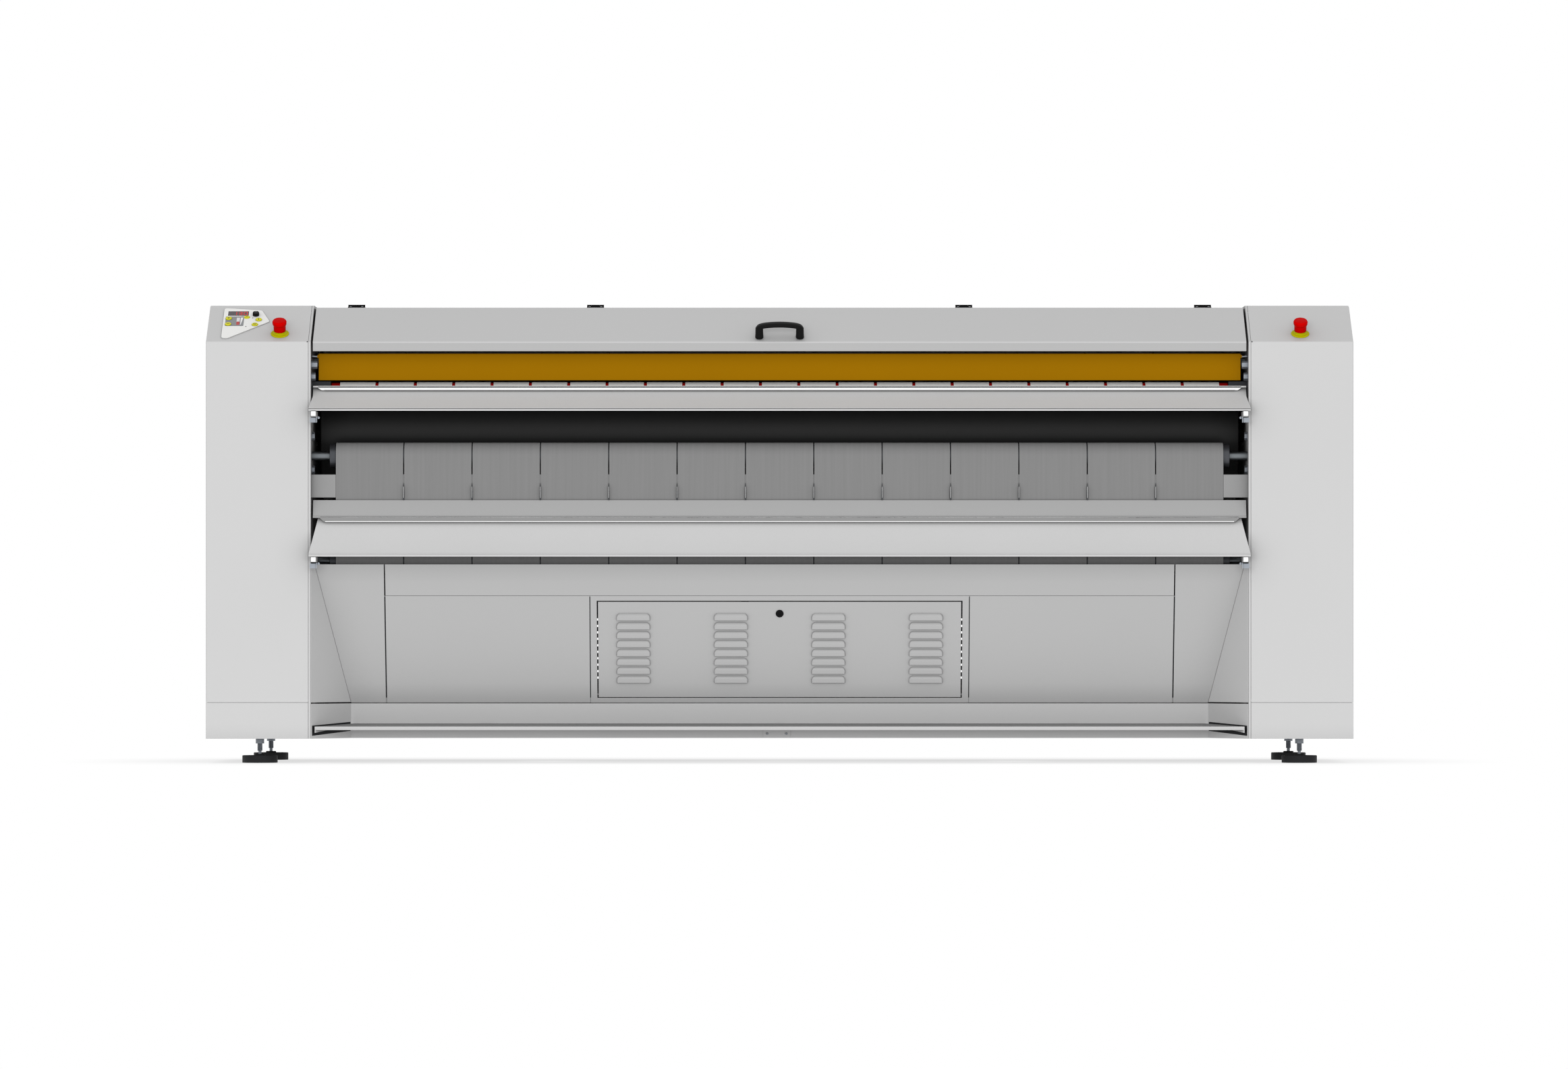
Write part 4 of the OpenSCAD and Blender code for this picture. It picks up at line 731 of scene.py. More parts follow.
white_webbing = cloth("polyester_webbing_white", "ececea", thread_mm=1.1, relief=0.5, streak=0.02, painted_shade_least=0.9)
feed_count = 23
feed_first = -1193
feed_pitch = 104.1
feed_width = 95.8
belt_lift = 0.3
feed_outside = belt_lift + 2.0
loops = []
for i in range(feed_count):
    x = i * feed_pitch + feed_first
    loops.append(belt([feed_c, idler_c], [feed_r, idler_r], x, x + feed_width, belt_lift, feed_outside))
belt_set("feed_belt_loops", "feed_webbing", white_webbing, loops, "feed_belts")


# Rollers: drawn steel tube with sunk end discs on a turned through shaft.
# The feed roller has a red rubber cover; the idler and the belt rollers are bare steel.
def turned_loop(profile, matrix, sides=48):
    """As turned, for a profile that closes on itself, listed counterclockwise in (radius, height)."""
    rows = len(profile)
    faces = grid_faces(rows + 1, sides, closed=True) % (rows * sides)
    return placed(spun(profile, sides), matrix), faces.tolist()


def axis_at(centre, x=0.0):
    """Places a turned piece on an axis along x through (depth, height) in mm."""
    return (Matrix.Translation((x, column_front + centre[0] / 1000, centre[1] / 1000))
            @ Matrix.Rotation(math.pi / 2, 4, "Y"))


shaft_half = 1.310
tube_wall = 0.004
disc_sunk = 0.003
turned_edge = 0.0008


def roller(name, skin, centre, radius_mm, half, shaft_r, skin_slot="roller_steel"):
    """A tube with sunk end discs on a shaft; centre and radius in mm, the other lengths in metres."""
    radius = radius_mm / 1000
    start = [(shaft_r, disc_sunk - half), (radius - tube_wall, disc_sunk - half),
             (radius - tube_wall, -half), (radius - turned_edge, -half), (radius, turned_edge - half)]
    profile = start + [(r, -h) for r, h in start[::-1]]
    piece(name + "_tube", name, skin_slot, skin, *turned_loop(profile, axis_at(centre), 64), [name])
    shaft = [(shaft_r * 0.3, -shaft_half), (shaft_r - turned_edge, -shaft_half),
             (shaft_r, turned_edge - shaft_half)]
    shaft += [(r, -h) for r, h in shaft[::-1]]
    piece(name + "_shaft", name, "roller_steel", shaft_steel, *turned(shaft, axis_at(centre), 40))


shaft_steel = coat("turned_steel_shaft", "8d9296", roughness=0.36, metallic=1.0, peel=0.02)
tube_steel = coat("drawn_steel_tube", "54565a", roughness=0.45, metallic=0.8, peel=0.03, mottle=0.05)
red_rubber = coat("red_silicone_rubber", "c00a08", roughness=0.6, peel_mm=0.8, peel=0.05, mottle=0.04)
feed_half = 1.217
feed_shaft_r = 0.009
roller("feed_roller", red_rubber, feed_c, feed_r, feed_half, feed_shaft_r, "red_rubber")
roller("feed_idler", tube_steel, idler_c, idler_r, feed_half, feed_shaft_r)
block_plastic = coat("glass_filled_nylon_dark_grey", "3a3c40", roughness=0.55, peel=0.06)
broken("feed_end_blocks", 0.001, block_plastic)


# Infeed table: one thin sheet. A flat deck before the feed belts, a lip band with rounded lower corners,
# and a concave apron that widens in front of the columns and ends in a rolled edge. Powder coated.
def side_view(points):
    """Turns (depth behind the column fronts, height) in mm into (y, z) in metres."""
    return np.asarray(points, float) / 1000 + (column_front, 0)


def apron(top, low, bow, steps=16):
    """Points of a concave apron from its lower edge up to its lip."""
    k = np.linspace(1, 0, steps + 1)
    (top_d, top_z), (low_d, low_z) = top, low
    return np.stack([top_d + (low_d - top_d) * (k - bow * k * (1 - k)), top_z + (low_z - top_z) * k], 1)


def rolled_edge(centre, radius, steps=14):
    """The roll of a table's lower edge, from its hidden end round below to its front."""
    k = np.radians(np.linspace(120, -172, steps))
    return np.stack([centre[0] + radius * np.cos(k), centre[1] + radius * np.sin(k)], 1)


table_wall = 0.0018
roll_r = 4.2
bead_r = 1.6
band_edge = 0.0006


def table_apron(name, cad, top, low, bow, roll, widths):
    """An apron with its rolled edge; widths lists (height, half width) in mm, from the bottom up."""
    path = np.vstack([rolled_edge(roll, roll_r), apron(top, low, bow)[1:]])
    half = np.interp(path[:, 1], *np.array(widths).T) / 1000
    made = piece(name, "machine", slot_of[cad], table_paint, *across(side_view(path), -half, half, 9),
                 [cad], sharp=60)
    return wall(made, table_wall)


def lip_band(name, cad, paint, half_top, half_low, depth, top, height, corner, thick=3.0):
    """The flat band under a table's lip, whose lower corners are rounded; all in mm.

    Its lower edge is hemmed, a half-round bead that is coloured brighter as a painted highlight."""
    outline = fillet([(0, top), (-half_top, top), (-half_low, top - height), (half_low, top - height),
                      (half_top, top), (0, top)], corner, 6)[1:-1] / 1000
    face_y = column_front + (depth + thick) / 1000
    front = Matrix(((1, 0, 0, 0), (0, 0, -1, face_y), (0, 1, 0, 0), (0, 0, 0, 1)))
    made = piece(name, "machine", slot_of[cad], paint, *prism(outline, 0, thick / 1000, front))
    ease(made, band_edge)
    k = np.radians(np.linspace(90, 270, 9))
    bead = np.stack([depth + bead_r * np.cos(k), top - height + bead_r * (1 + np.sin(k))], 1)
    half = (half_low - corner) / 1000
    piece(name + "_hem", "machine", slot_of[cad], hem_highlight_paint, *across(side_view(bead), -half, half, 3))


# The hem beads are a bright copy of the table paint, as a painted highlight.
hem_highlight_paint = coat("hem_bead_painted_highlight", "f2f2f2", roughness=0.4)
# The infeed lip band is a lighter copy of the table paint, as painted light.
lip_light_paint = coat("infeed_lip_painted_light", "f6f6f6", roughness=0.45, painted_shade_least=0.8)
# The return band and slide are darker copies of the table paint, as painted shade.
band_shade_paint = coat("return_band_painted_shade", "929292", roughness=0.45)
slide_shade_paint = coat("return_slide_painted_shade", "a9a9a9", roughness=0.45)
# The table's colour drops as low as a tenth of itself in inside corners, as painted shade.
table_paint = coat("powder_coat_table_grey", "d2d2d2", roughness=0.45, painted_shade_least=0.1)
chute_half = 1.264
table_apron("infeed_apron", "infeed_table", top=(27, 1019), low=(-59, 956.5), bow=0.5, roll=(-55.5, 956.5),
            widths=[(951, 1272.5), (961.8, 1272.5), (992.6, 1264), (1022, 1264)])
lip_band("infeed_lip", "infeed_table", lip_light_paint, half_top=1257, half_low=1242, depth=14, top=1021,
         height=11.5, corner=9)
deck = fillet([(14, 1017), (14, 1022), (42.7, 1022)], 2, 4)
made = piece("infeed_deck", "machine", slot_of["infeed_table"], table_paint,
             *across(side_view(deck), -chute_half, chute_half, 3))
wall(made, table_wall)

# Return table: the same sheet; a steep slide under the belts, a narrow lip band with slanted ends
# and a deeper apron. The slide and the band are coloured darker than the apron, as painted shade.
table_apron("return_apron", "return_table", top=(16, 667), low=(-59, 562.5), bow=0.35, roll=(-55.5, 562.5),
            widths=[(558, 1272.5), (567, 1272.5), (666, 1250), (668, 1250)])
lip_band("return_lip", "return_table", band_shade_paint, half_top=1250, half_low=1234, depth=1.75, top=667.6,
         height=15.0, corner=3)
slide = fillet([(1.75, 664), (1.75, 667.8), (4.75, 668.6), (20.6, 712)], 1.5, 4)
made = piece("return_slide", "machine", slot_of["return_table"], slide_shade_paint,
             *across(side_view(slide), -chute_half, chute_half, 3))
wall(made, table_wall)


# Cylinder: a welded steel drum with flat ends and hollow journals, ground and polished, and coloured
# a dark grey. The chain wheel sits beyond the right journal's bearing.
cylinder_c = (300.0, 905.0)
cylinder_r = 0.175
cylinder_half = 1.25
drum_wall = 0.008
drum_edge = 0.0025
end_t = 0.020
journal_r = 0.030
journal_bore = 0.022
journal_half = 1.334
polished = coat("dark_grey_polished_steel", "323232", roughness=0.4, peel_mm=3.0, peel=0.01,
                mottle=0.06, metallic=0.6, shine=0.2)
outer = fillet([(journal_bore, -journal_half), (journal_r, -journal_half), (journal_r, -cylinder_half),
                (cylinder_r, -cylinder_half), (cylinder_r, 0)], drum_edge, 4)
inner = np.array([(journal_bore, -cylinder_half + end_t / 2), (journal_bore, end_t - cylinder_half),
                  (cylinder_r - drum_wall, end_t - cylinder_half)])
half_ring = np.vstack([inner[::-1], outer])
profile = np.vstack([half_ring, (half_ring * (1, -1))[::-1]])
piece("cylinder_drum", "cylinder", "cylinder_steel", polished,
      *turned_loop(profile, axis_at(cylinder_c), 128), ["heated_cylinder"])


def toothed(pitch_r, teeth, depth, steps=12):
    """Outline of a chain wheel: rounded gaps between short teeth."""
    a = np.arange(teeth * steps) * 2 * np.pi / (teeth * steps)
    wave = np.clip(0.5 + 0.75 * np.cos(a * teeth), 0, 1)
    return (pitch_r - depth + depth * wave)[:, None] * np.stack([np.cos(a), np.sin(a)], 1)


wheel_x = 1.318
wheel_t = 0.008
wheel_gap = 0.0005
wheel_teeth = 66
tooth_h = 0.006
chain_wheel_r = 0.1155
wheel = prism(toothed(chain_wheel_r, wheel_teeth, tooth_h), wheel_gap, wheel_t - wheel_gap,
              axis_at(cylinder_c, wheel_x))
made = piece("chain_wheel", "cylinder", "cylinder_steel", tube_steel, *wheel)
ease(made, edge_break, 1)


# Ironing belts: 13 endless belts, 182 mm wide and 3 mm thick, that run down the front, back below,
# up behind and round the hot cylinder. Grey needled aramid felt with a soft nap and faint streaks.
front_c = (59.8, 833.0)
lower_c = (59.8, 548.0)
rear_c = (575.0, 548.0)
top_rear_c = (575.0, 1085.0)
nip_c = (190.0, 1090.0)
belt_roller_r = 32.5
nip_r = 25.0
wrap_r = 178.6
belt_count = 13
belt_pitch = 185.3
belt_width = 182.3
belt_gap = 3.0
belt_outside = belt_lift + 3.0
route = [rear_c, top_rear_c, nip_c, cylinder_c, front_c, lower_c]
route_r = [belt_roller_r, belt_roller_r, nip_r, -wrap_r, belt_roller_r, belt_roller_r]
grey_felt = cloth("needled_aramid_felt_grey", "858585", thread_mm=1.6, relief=0.35, streak=0.03)
loops = []
for i in range(belt_count):
    x = (i - belt_count / 2) * belt_pitch + belt_gap / 2
    loops.append(belt(route, route_r, x, x + belt_width, belt_lift, belt_outside, edge=0.5))
belt_set("ironing_belt_loops", "ironing_felt", grey_felt, loops, "ironing_belts")

# A strip of the same felt closes each seam below the front roller, where the fingers reach in.
seam_x = [(i - belt_count / 2) * belt_pitch / 1000 for i in range(1, belt_count)]
strip_half = 0.0014
strip_t = 0.0016
strip_low, strip_high = 0.713, 0.782
strip_y = column_front + 0.0247
strips = [prism(rect(x - strip_half, strip_y, x + strip_half, strip_y + strip_t), strip_low, strip_high)
          for x in seam_x]
points, faces = gathered(strips)
piece("seam_strips", "machine", "ironing_felt", grey_felt, points, faces, uv=points[:, [2, 0]])

# Their five rollers, and the flanged bearing units that carry every shaft.
belt_roller_half = 1.220
belt_shaft_r = 0.012
belt_rollers = [("front_roller", front_c, belt_roller_r), ("lower_roller", lower_c, belt_roller_r),
                ("rear_roller", rear_c, belt_roller_r), ("nip_roller", nip_c, nip_r),
                ("top_rear_roller", top_rear_c, belt_roller_r)]
for name, centre, radius in belt_rollers:
    roller(name, tube_steel, centre, radius, belt_roller_half, belt_shaft_r)
cast_iron = coat("painted_cast_iron_blue_grey", "6c737c", roughness=0.5, peel=0.08)
broken("bearings", 0.0008, cast_iron)


# Stripper fingers and side guides: thin pointed steel blades that stand on the slide at every belt seam,
# and folded sheets that close the chute beside the outer belts. Zinc plated, and painted grey.
# The blades are zinc plated steel, coloured dark grey as painted shade round each blade.
finger_steel_and_shade = coat("finger_zinc_grey_and_painted_shade", "5f6164", roughness=0.5, metallic=0.3, peel=0.03)
# A bright strip down each blade is a painted highlight on its ridge.
ridge_highlight_paint = coat("finger_ridge_painted_highlight", "c9c9c9", roughness=0.4, metallic=0.3, peel=0.02)
finger_root_z, finger_tip_z = 0.7125, 0.7585
finger_y = column_front + 0.0234
half_root, half_waist, half_tip = 0.0014, 0.0026, 0.0007
rise_shares = np.array([0, 0.12, 0.5, 0.85, 1.0])
finger_z = finger_root_z + (finger_tip_z - finger_root_z) * rise_shares
finger_half = np.array([half_root, half_waist, half_waist * 0.9, half_tip * 1.3, half_tip * 0.4])
finger_t = np.array([0.0058, 0.0052, 0.0036, 0.0018, 0.001])
blades = []
for x in seam_x:
    rows = [np.column_stack([x + finger_half * share, finger_y - finger_t * raised, finger_z])
            for share, raised in ((-1, 0), (-0.35, 1), (0.35, 1), (1, 0))]
    blades.append((np.stack(rows, 1).reshape(-1, 3), closed_faces(len(finger_z), len(rows))))
piece("stripper_blades", "machine", slot_of["stripper_fingers"], finger_steel_and_shade, *gathered(blades),
      ["stripper_fingers"], sharp=50)
ridge_half = 0.0006
ridge_face, ridge_back = 0.0060, 0.0030
ridge_low, ridge_high = finger_root_z + 0.006, finger_tip_z - 0.010
ridge = rect(-ridge_half, -ridge_face, ridge_half, -ridge_back)
piece("stripper_ridges", "machine", slot_of["stripper_fingers"], ridge_highlight_paint,
      *gathered([prism(np.array(ridge) + (x, finger_y), ridge_low, ridge_high) for x in seam_x]))
guide_paint = coat("powder_coat_guide_grey", "979797", roughness=0.5)
broken("side_guides", edge_break, guide_paint)


# Table arms: white square tubes with moulded end caps; a small plated plate, bar and stub hang below each.
# The caps are slightly domed with rounded corners, and eight bolts hold each side frame's fittings.
arm_paint = coat("powder_coat_arm_white", "ececec", roughness=0.4)
cap_white = coat("moulded_cap_white", "f4f4f4", roughness=0.5, peel_mm=0.8, peel=0.05)
plated_steel = coat("zinc_plated_steel", "a2a8b0", roughness=0.4, metallic=0.6, peel=0.03, mottle=0.05)
broken("table_arms", 0.0012, arm_paint, 3)
arm_mid_x = 1.2595
arm_half = 0.0068
arm_front = column_front - 0.0554
arm_drop = 0.007
arm_tops = (0.9519, 0.5579)
cap_square = fillet([(0, arm_half), (-arm_half, arm_half), (-arm_half, -arm_half), (arm_half, -arm_half),
                     (arm_half, arm_half), (0, arm_half)], 0.0026, 4)[1:-1]
cap_rings = [(1.0, -0.001), (1.0, 0.0016), (0.93, 0.0026), (0.7, 0.0031)]
cap = np.vstack([np.column_stack([cap_square * share, np.full(len(cap_square), h)])
                 for share, h in cap_rings])
latch_plate = rect(-0.008, -0.016, 0.008, -0.003)
latch_bar = rect(-0.0012, -0.024, 0.0012, -0.009)
latch_stub = fillet([(0.001, 0), (0.0035, 0), (0.0035, 0.006), (0.001, 0.006)], 0.0006, 2)
caps, latches = [], []
for top_z in arm_tops:
    for side in (-1, 1):
        end = Matrix(((1, 0, 0, side * arm_mid_x), (0, 0, -1, arm_front), (0, 1, 0, top_z - arm_drop),
                      (0, 0, 0, 1)))
        plate_place = end @ Matrix.Translation((side * 0.002, -0.008, -0.006))
        bar_place = end @ Matrix.Translation((side * -0.0085, 0, 0))
        stub_place = end @ Matrix.Translation((side * -0.0135, -0.011, -0.014))
        caps.append((placed(cap, end), closed_faces(len(cap_rings), len(cap_square))))
        latches.append(prism(latch_plate, -0.002, 0, plate_place))
        latches.append(prism(latch_bar, -0.012, -0.004, bar_place))
        latches.append(turned(latch_stub, stub_place, 16))
piece("arm_end_caps", "machine", slot_of["table_arms"], cap_white, *gathered(caps))
piece("arm_latches", "machine", slot_of["table_arms"], plated_steel, *gathered(latches))


def hex_bolt(matrix, height, across=0.019, washer=0.0125):
    """A hexagon head with a chamfered top on a plain washer."""
    washer_t = 0.0015
    a = np.arange(6) * math.pi / 3
    corner = across / 2 / math.cos(math.pi / 6)
    ring = np.stack([np.cos(a), np.sin(a)], 1)
    rows = [(corner, washer_t), (corner, height * 0.85), (corner * 0.9, height)]
    points = np.vstack([np.column_stack([ring * r, np.full(6, h)]) for r, h in rows])
    flat = [(washer * 0.2, 0), (washer, 0), (washer, washer_t), (washer * 0.2, washer_t)]
    return gathered([(placed(points, matrix), closed_faces(3, 6)), turned(flat, matrix, 24)])


# Each bolt's depth behind the column fronts, its height and its head's height, in mm.
frame_face = 1.27
bolt_at = [(60, 886, 8), (60, 795, 8), (60, 590, 8), (60, 506, 8), (30, 1079, 17), (30, 1047, 12),
           (575, 595, 8), (575, 1040, 8)]
bolts = []
for side in (-1, 1):
    for d, z, tall in bolt_at:
        place = (Matrix.Translation((side * frame_face, column_front + d / 1000, z / 1000))
                 @ Matrix.Rotation(-side * math.pi / 2, 4, "Y"))
        bolts.append(hex_bolt(place, tall / 1000))
piece("frame_bolts", "machine", "zinc_plated", plated_steel, *gathered(bolts), sharp=25)


# Lower body: sheets of 1.5 mm below the tables, leaning forward, with a thin seam between neighbours;
# the toe recess, the plinth and the full-width foot plate below them. Cut edges broken by 0.4 mm.
body_paint = coat("powder_coat_body_grey", "b6b6b6", roughness=0.45, painted_shade_least=0.4)
recess_paint = coat("powder_coat_recess_grey", "bebebe", roughness=0.5, painted_shade_least=0.9)
broken("body_panels", edge_break, body_paint)
broken("door_frame", edge_break, body_paint)
broken("toe_recess", edge_break, recess_paint)
# Its colour falls towards black in inside corners within 14 cm, as painted shade.
treadle_paint = coat("powder_coat_treadle_grey", "cccccc", roughness=0.5, painted_shade_least=0.0, reach=0.14)
broken("treadle", 0.0009, treadle_paint, 3)

# A thin darker grey layer with a coarse grain lies on the foot plate's top: painted shade.
treadle_top_shade_paint = coat("treadle_top_painted_shade_grey", "8f8f8f", roughness=0.75, peel_mm=1.2, peel=0.4)
toe_depth = 142.0
recess_half = 1.2685
recess_splay = 0.101
tread_side_gap = 0.0115
tread_shade_t = 0.00012
tread_line = np.array([(7.0, 99.13), (139.0, 105.75)])
tread_half = recess_half - tread_side_gap - recess_splay * tread_line[:, 0] / toe_depth
made = piece("treadle_top_painted_shade", "treadle", slot_of["treadle"], treadle_top_shade_paint,
             *across(side_view(tread_line), -tread_half, tread_half))
wall(made, tread_shade_t)

# A thin dark inlay, laid on the splayed wall at each end beside the foot plate, is painted shade.
shade_inlay_corners = [(3, 73.7), (139, 85.4), (139, 110.0), (3, 101.3)]
inlay_face, inlay_back = 0.0006, 0.0002
shade_inlays = []
for side in (-1, 1):
    offs = (inlay_face, inlay_back) if side > 0 else (inlay_back, inlay_face)
    layers = [[(side * (recess_half - recess_splay * d / toe_depth - off), column_front + d / 1000, z / 1000)
               for d, z in shade_inlay_corners] for off in offs]
    shade_inlays.append((np.array(layers).reshape(-1, 3), closed_faces(2, len(shade_inlay_corners))))
piece("treadle_side_painted_shade", "machine", slot_of["toe_recess"], dark_painted_shade, *gathered(shade_inlays))
dress("treadle_springs", plated_steel)
tag_x, tag_y, tag_z = -0.008, column_front + 0.140, 0.0775
tag_screw_off = 0.026
heads = [screw_head(Matrix.Translation((tag_x + off, tag_y, tag_z)) @ Matrix.Rotation(math.pi / 2, 4, "X"),
                    0.0035, 0.0018) for off in (-tag_screw_off, tag_screw_off)]
piece("tag_screws", "machine", "zinc_plated", screw_steel, *gathered(heads))


# Louvred door: a 1.5 mm sheet with folded sides, 32 pressed louvres and a quarter-turn lock.
# Each louvre is drawn out of the sheet and cut open along its lower edge; same paint as the body.
foot_d, foot_z = 0.142, 0.162
head_d, head_z = 0.012, 0.538
body_angle = math.atan2(head_z - foot_z, head_d - foot_d)
sill = 0.015
door = (Matrix.Translation((0, column_front + foot_d, foot_z)) @ Matrix.Rotation(body_angle, 4, "X")
        @ Matrix.Translation((0, sill, 0)))
door_half = 0.4929
door_low, door_high = 0.0012, 0.275
door_t = 0.0015
door_fold = 0.0135
door_cut = (-0.004, 0.002)
louvre_w, louvre_h, louvre_out = 0.093, 0.0195, 0.006
louvre_corner = 0.013
louvre_across, louvre_up, louvre_top = 0.265, 0.0257, 0.224
louvre_at = [((i - 1.5) * louvre_across, louvre_top - louvre_up * j) for i in range(4) for j in range(8)]
mouth_shares = (0.97, 0.9)
lock_v, lock_r = 0.242, 0.0105


def flange(x0, x1, v0, v1, n0, n1):
    """A flat strip of the door, between two corners in its own frame."""
    return prism(rect(x0, v0, x1, v1), n0, n1, door)


made = piece("door_sheet", "door", "front_enamel", body_paint,
             *flange(-door_half, door_half, door_low, door_high, -door_t, 0), ["door"])
quarter = np.linspace(0, math.pi / 2, 7)
arc = np.stack([louvre_w / 2 - louvre_corner * (1 - np.cos(quarter)),
                louvre_h - louvre_corner * (1 - np.sin(quarter))], 1)
mouth = np.vstack([arc, arc[::-1] * (-1, 1), [(-louvre_w / 2, 0), (louvre_w / 2, 0)]]) * mouth_shares
holes = [prism(mouth + at, *door_cut, door) for at in louvre_at]
holes.append(prism(disc(lock_r - 0.0001, (0, lock_v)), *door_cut, door))
punch(made, *gathered(holes))
ease(made, edge_break)
fold_top = door_high - door_t
piece("door_folds", "door", "front_enamel", body_paint, *gathered(
    [flange(-door_half, -door_half + door_t, door_low, fold_top, -door_fold, -door_t),
     flange(door_half - door_t, door_half, door_low, fold_top, -door_fold, -door_t),
     flange(-door_half, door_half, fold_top, door_high, -door_fold, -door_t)]))

# A louvre's dome swells out as a quarter sine, in from both ends and down from its round-cornered top.
end_share, top_share, fullness = 0.06, 0.42, 0.8
dome_wall = 0.0009
dome_lift = 0.0001
s = np.sin(np.linspace(-1, 1, 41) * math.pi / 2)
rise_t = np.sin(np.linspace(0, 1, 15) * math.pi / 2)
into_corner = np.clip((rise_t * louvre_h - (louvre_h - louvre_corner)) / louvre_corner, 0, 1)
half = louvre_w / 2 - louvre_corner * (1 - np.sqrt(1 - into_corner ** 2))
from_end = np.clip((1 - np.abs(s)) / end_share, 0, 1)[None, :]
from_top = np.clip((1 - rise_t) / top_share, 0, 1)[:, None]
out = louvre_out * np.sin(from_end * math.pi / 2) * np.sin(from_top * math.pi / 2) ** fullness
up = np.broadcast_to((louvre_h * rise_t)[:, None], out.shape)
dome = np.stack([half[:, None] * s, up, out + dome_lift], -1).reshape(-1, 3)
dome_faces = grid_faces(len(rise_t), len(s)).tolist()
made = piece("door_louvres", "door", "front_enamel", body_paint,
             *gathered([(placed(dome + (x, v, 0), door), dome_faces) for x, v in louvre_at]), sharp=60)
wall(made, dome_wall)

# Thin dark strips lie in the upright seams between the neighbouring body sheets, as painted shade in the
# gaps; the stop tab over the door is as dark.
seam_shade_paint = coat("seam_painted_shade_grey", "242527", roughness=0.7)
seam_shade_top = 0.2904
door_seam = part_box("door_frame")[1].x + 0.0004
corner_seam = 1.0713
seam_shades = []
for side in (-1, 1):
    for seam, half in ((door_seam, 0.0013), (corner_seam, 0.0015)):
        strip = rect(side * seam - half, 0.0, side * seam + half, seam_shade_top)
        seam_shades.append(prism(strip, -0.0008, 0.00006, door))
piece("seam_painted_shade", "machine", slot_of["body_panels"], seam_shade_paint, *gathered(seam_shades))
tab_x = -0.0945
tab_half = 0.0105
piece("door_stop_tab", "machine", "front_enamel", seam_shade_paint,
      *prism(rect(tab_x - tab_half, 0.2755, tab_x + tab_half, 0.2785), -0.0012, -0.0002, door))

# Lock: a black barrel with a chamfered face and a key slot; its flat cam reaches past the door's edge.
lock_face = [(0.001, 0.0004), (lock_r, 0.0004), (lock_r, 0.0016), (lock_r - 0.0022, 0.0026),
             (0.0042, 0.0026), (0.0042, 0.0014), (0.0008, 0.0014)]
lock_body = [(0.001, -0.0162), (lock_r - 0.0003, -0.0162), (lock_r - 0.0003, 0.0006), (0.001, 0.0006)]
lock_cam = rect(0.0, -0.0052, 0.0430, 0.0052)
key_slot = rect(-0.0034, -0.0009, 0.0034, 0.0009)
lock_place = door @ Matrix.Translation((0, lock_v, 0))
piece("lock_barrel", "lock", slot_of["door_lock"], cast_black, *gathered(
    [turned(lock_face, lock_place, 40), turned(lock_body, lock_place, 40),
     prism(lock_cam, -0.0164, -0.0150, lock_place)]), ["door_lock"])
piece("lock_key_slot", "lock", slot_of["door_lock"], moulded_black,
      *prism(key_slot, 0.0013, 0.0019, lock_place))


# Levelling feet: a zinc-plated screw in a black moulded pad with radial ribs, locked by a hexagon nut.
# The thread is a ridge of 2 mm pitch that climbs the stem.
pad_black = coat("moulded_rubber_black", "1e1f21", roughness=0.65, peel_mm=1.0, peel=0.1, mottle=0.05)
broken("foot_nuts", 0.0006, plated_steel)


def threaded(radius, low, high, matrix, pitch=0.002, depth=0.0007, sides=32):
    """A stem whose radius follows a thread that climbs one pitch in a turn."""
    a = np.arange(sides) * 2 * np.pi / sides
    h = np.linspace(low, high, int((high - low) / pitch * 6) + 1)
    ease_in = np.clip((high - h) / pitch, 0, 1)[:, None]
    r = radius - depth / 2 * ease_in * (1 - np.cos(2 * np.pi * (h[:, None] / pitch) - a))
    points = np.stack([r * np.cos(a), r * np.sin(a), np.broadcast_to(h[:, None], r.shape)], -1)
    return placed(points.reshape(-1, 3), matrix), closed_faces(len(h), sides)


pad_r, rim_z, hub_z = 0.048, 0.020, 0.024
stem_r, stem_low = 0.007, 0.0324
rib_count = 12
bowl = [(0.012, 0), (pad_r - 0.0008, 0), (pad_r, 0.0008), (pad_r, rim_z - 0.0015), (pad_r - 0.001, rim_z),
        (0.0452, rim_z), (0.044, 0.006), (0.012, 0.006)]
hub = fillet([(0.001, 0.001), (0.016, 0.001), (0.014, hub_z), (0.001, hub_z)], 0.0015, 3)
rib = rect(0.012, -0.0014, 0.0446, 0.0014)
neck = [(0.001, hub_z - 0.002), (0.0043, hub_z - 0.002), (0.0043, 0.0322), (0.0068, stem_low)]
for name in ("front_left_foot", "front_right_foot", "rear_left_foot", "rear_right_foot"):
    low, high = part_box(name)
    place = Matrix.Translation(((low.x + high.x) / 2, (low.y + high.y) / 2, 0))
    ribs = [prism(rib, 0.005, rim_z - 0.001, place @ Matrix.Rotation(k * 2 * math.pi / rib_count, 4, "Z"))
            for k in range(rib_count)]
    piece(name + "_pad", name, "foot_plastic", pad_black,
          *gathered([turned_loop(bowl, place, 64), turned(hub, place, 40)] + ribs), [name])
    piece(name + "_stem", name, "zinc_plated", plated_steel,
          *gathered([turned(neck, place, 24), threaded(stem_r, stem_low, high.z, place)]))


# Controls: a white printed plate with a grey rim on the left column's slope, yellow keys, a black knob
# and a red display behind a grey window. Bare plastics; the printed marks stand up to 0.1 mm proud.
def on_panel(x, y):
    """A place on the control plate, in mm from its lower left corner."""
    return panel @ Matrix.Translation((x / 1000, y / 1000, 0))


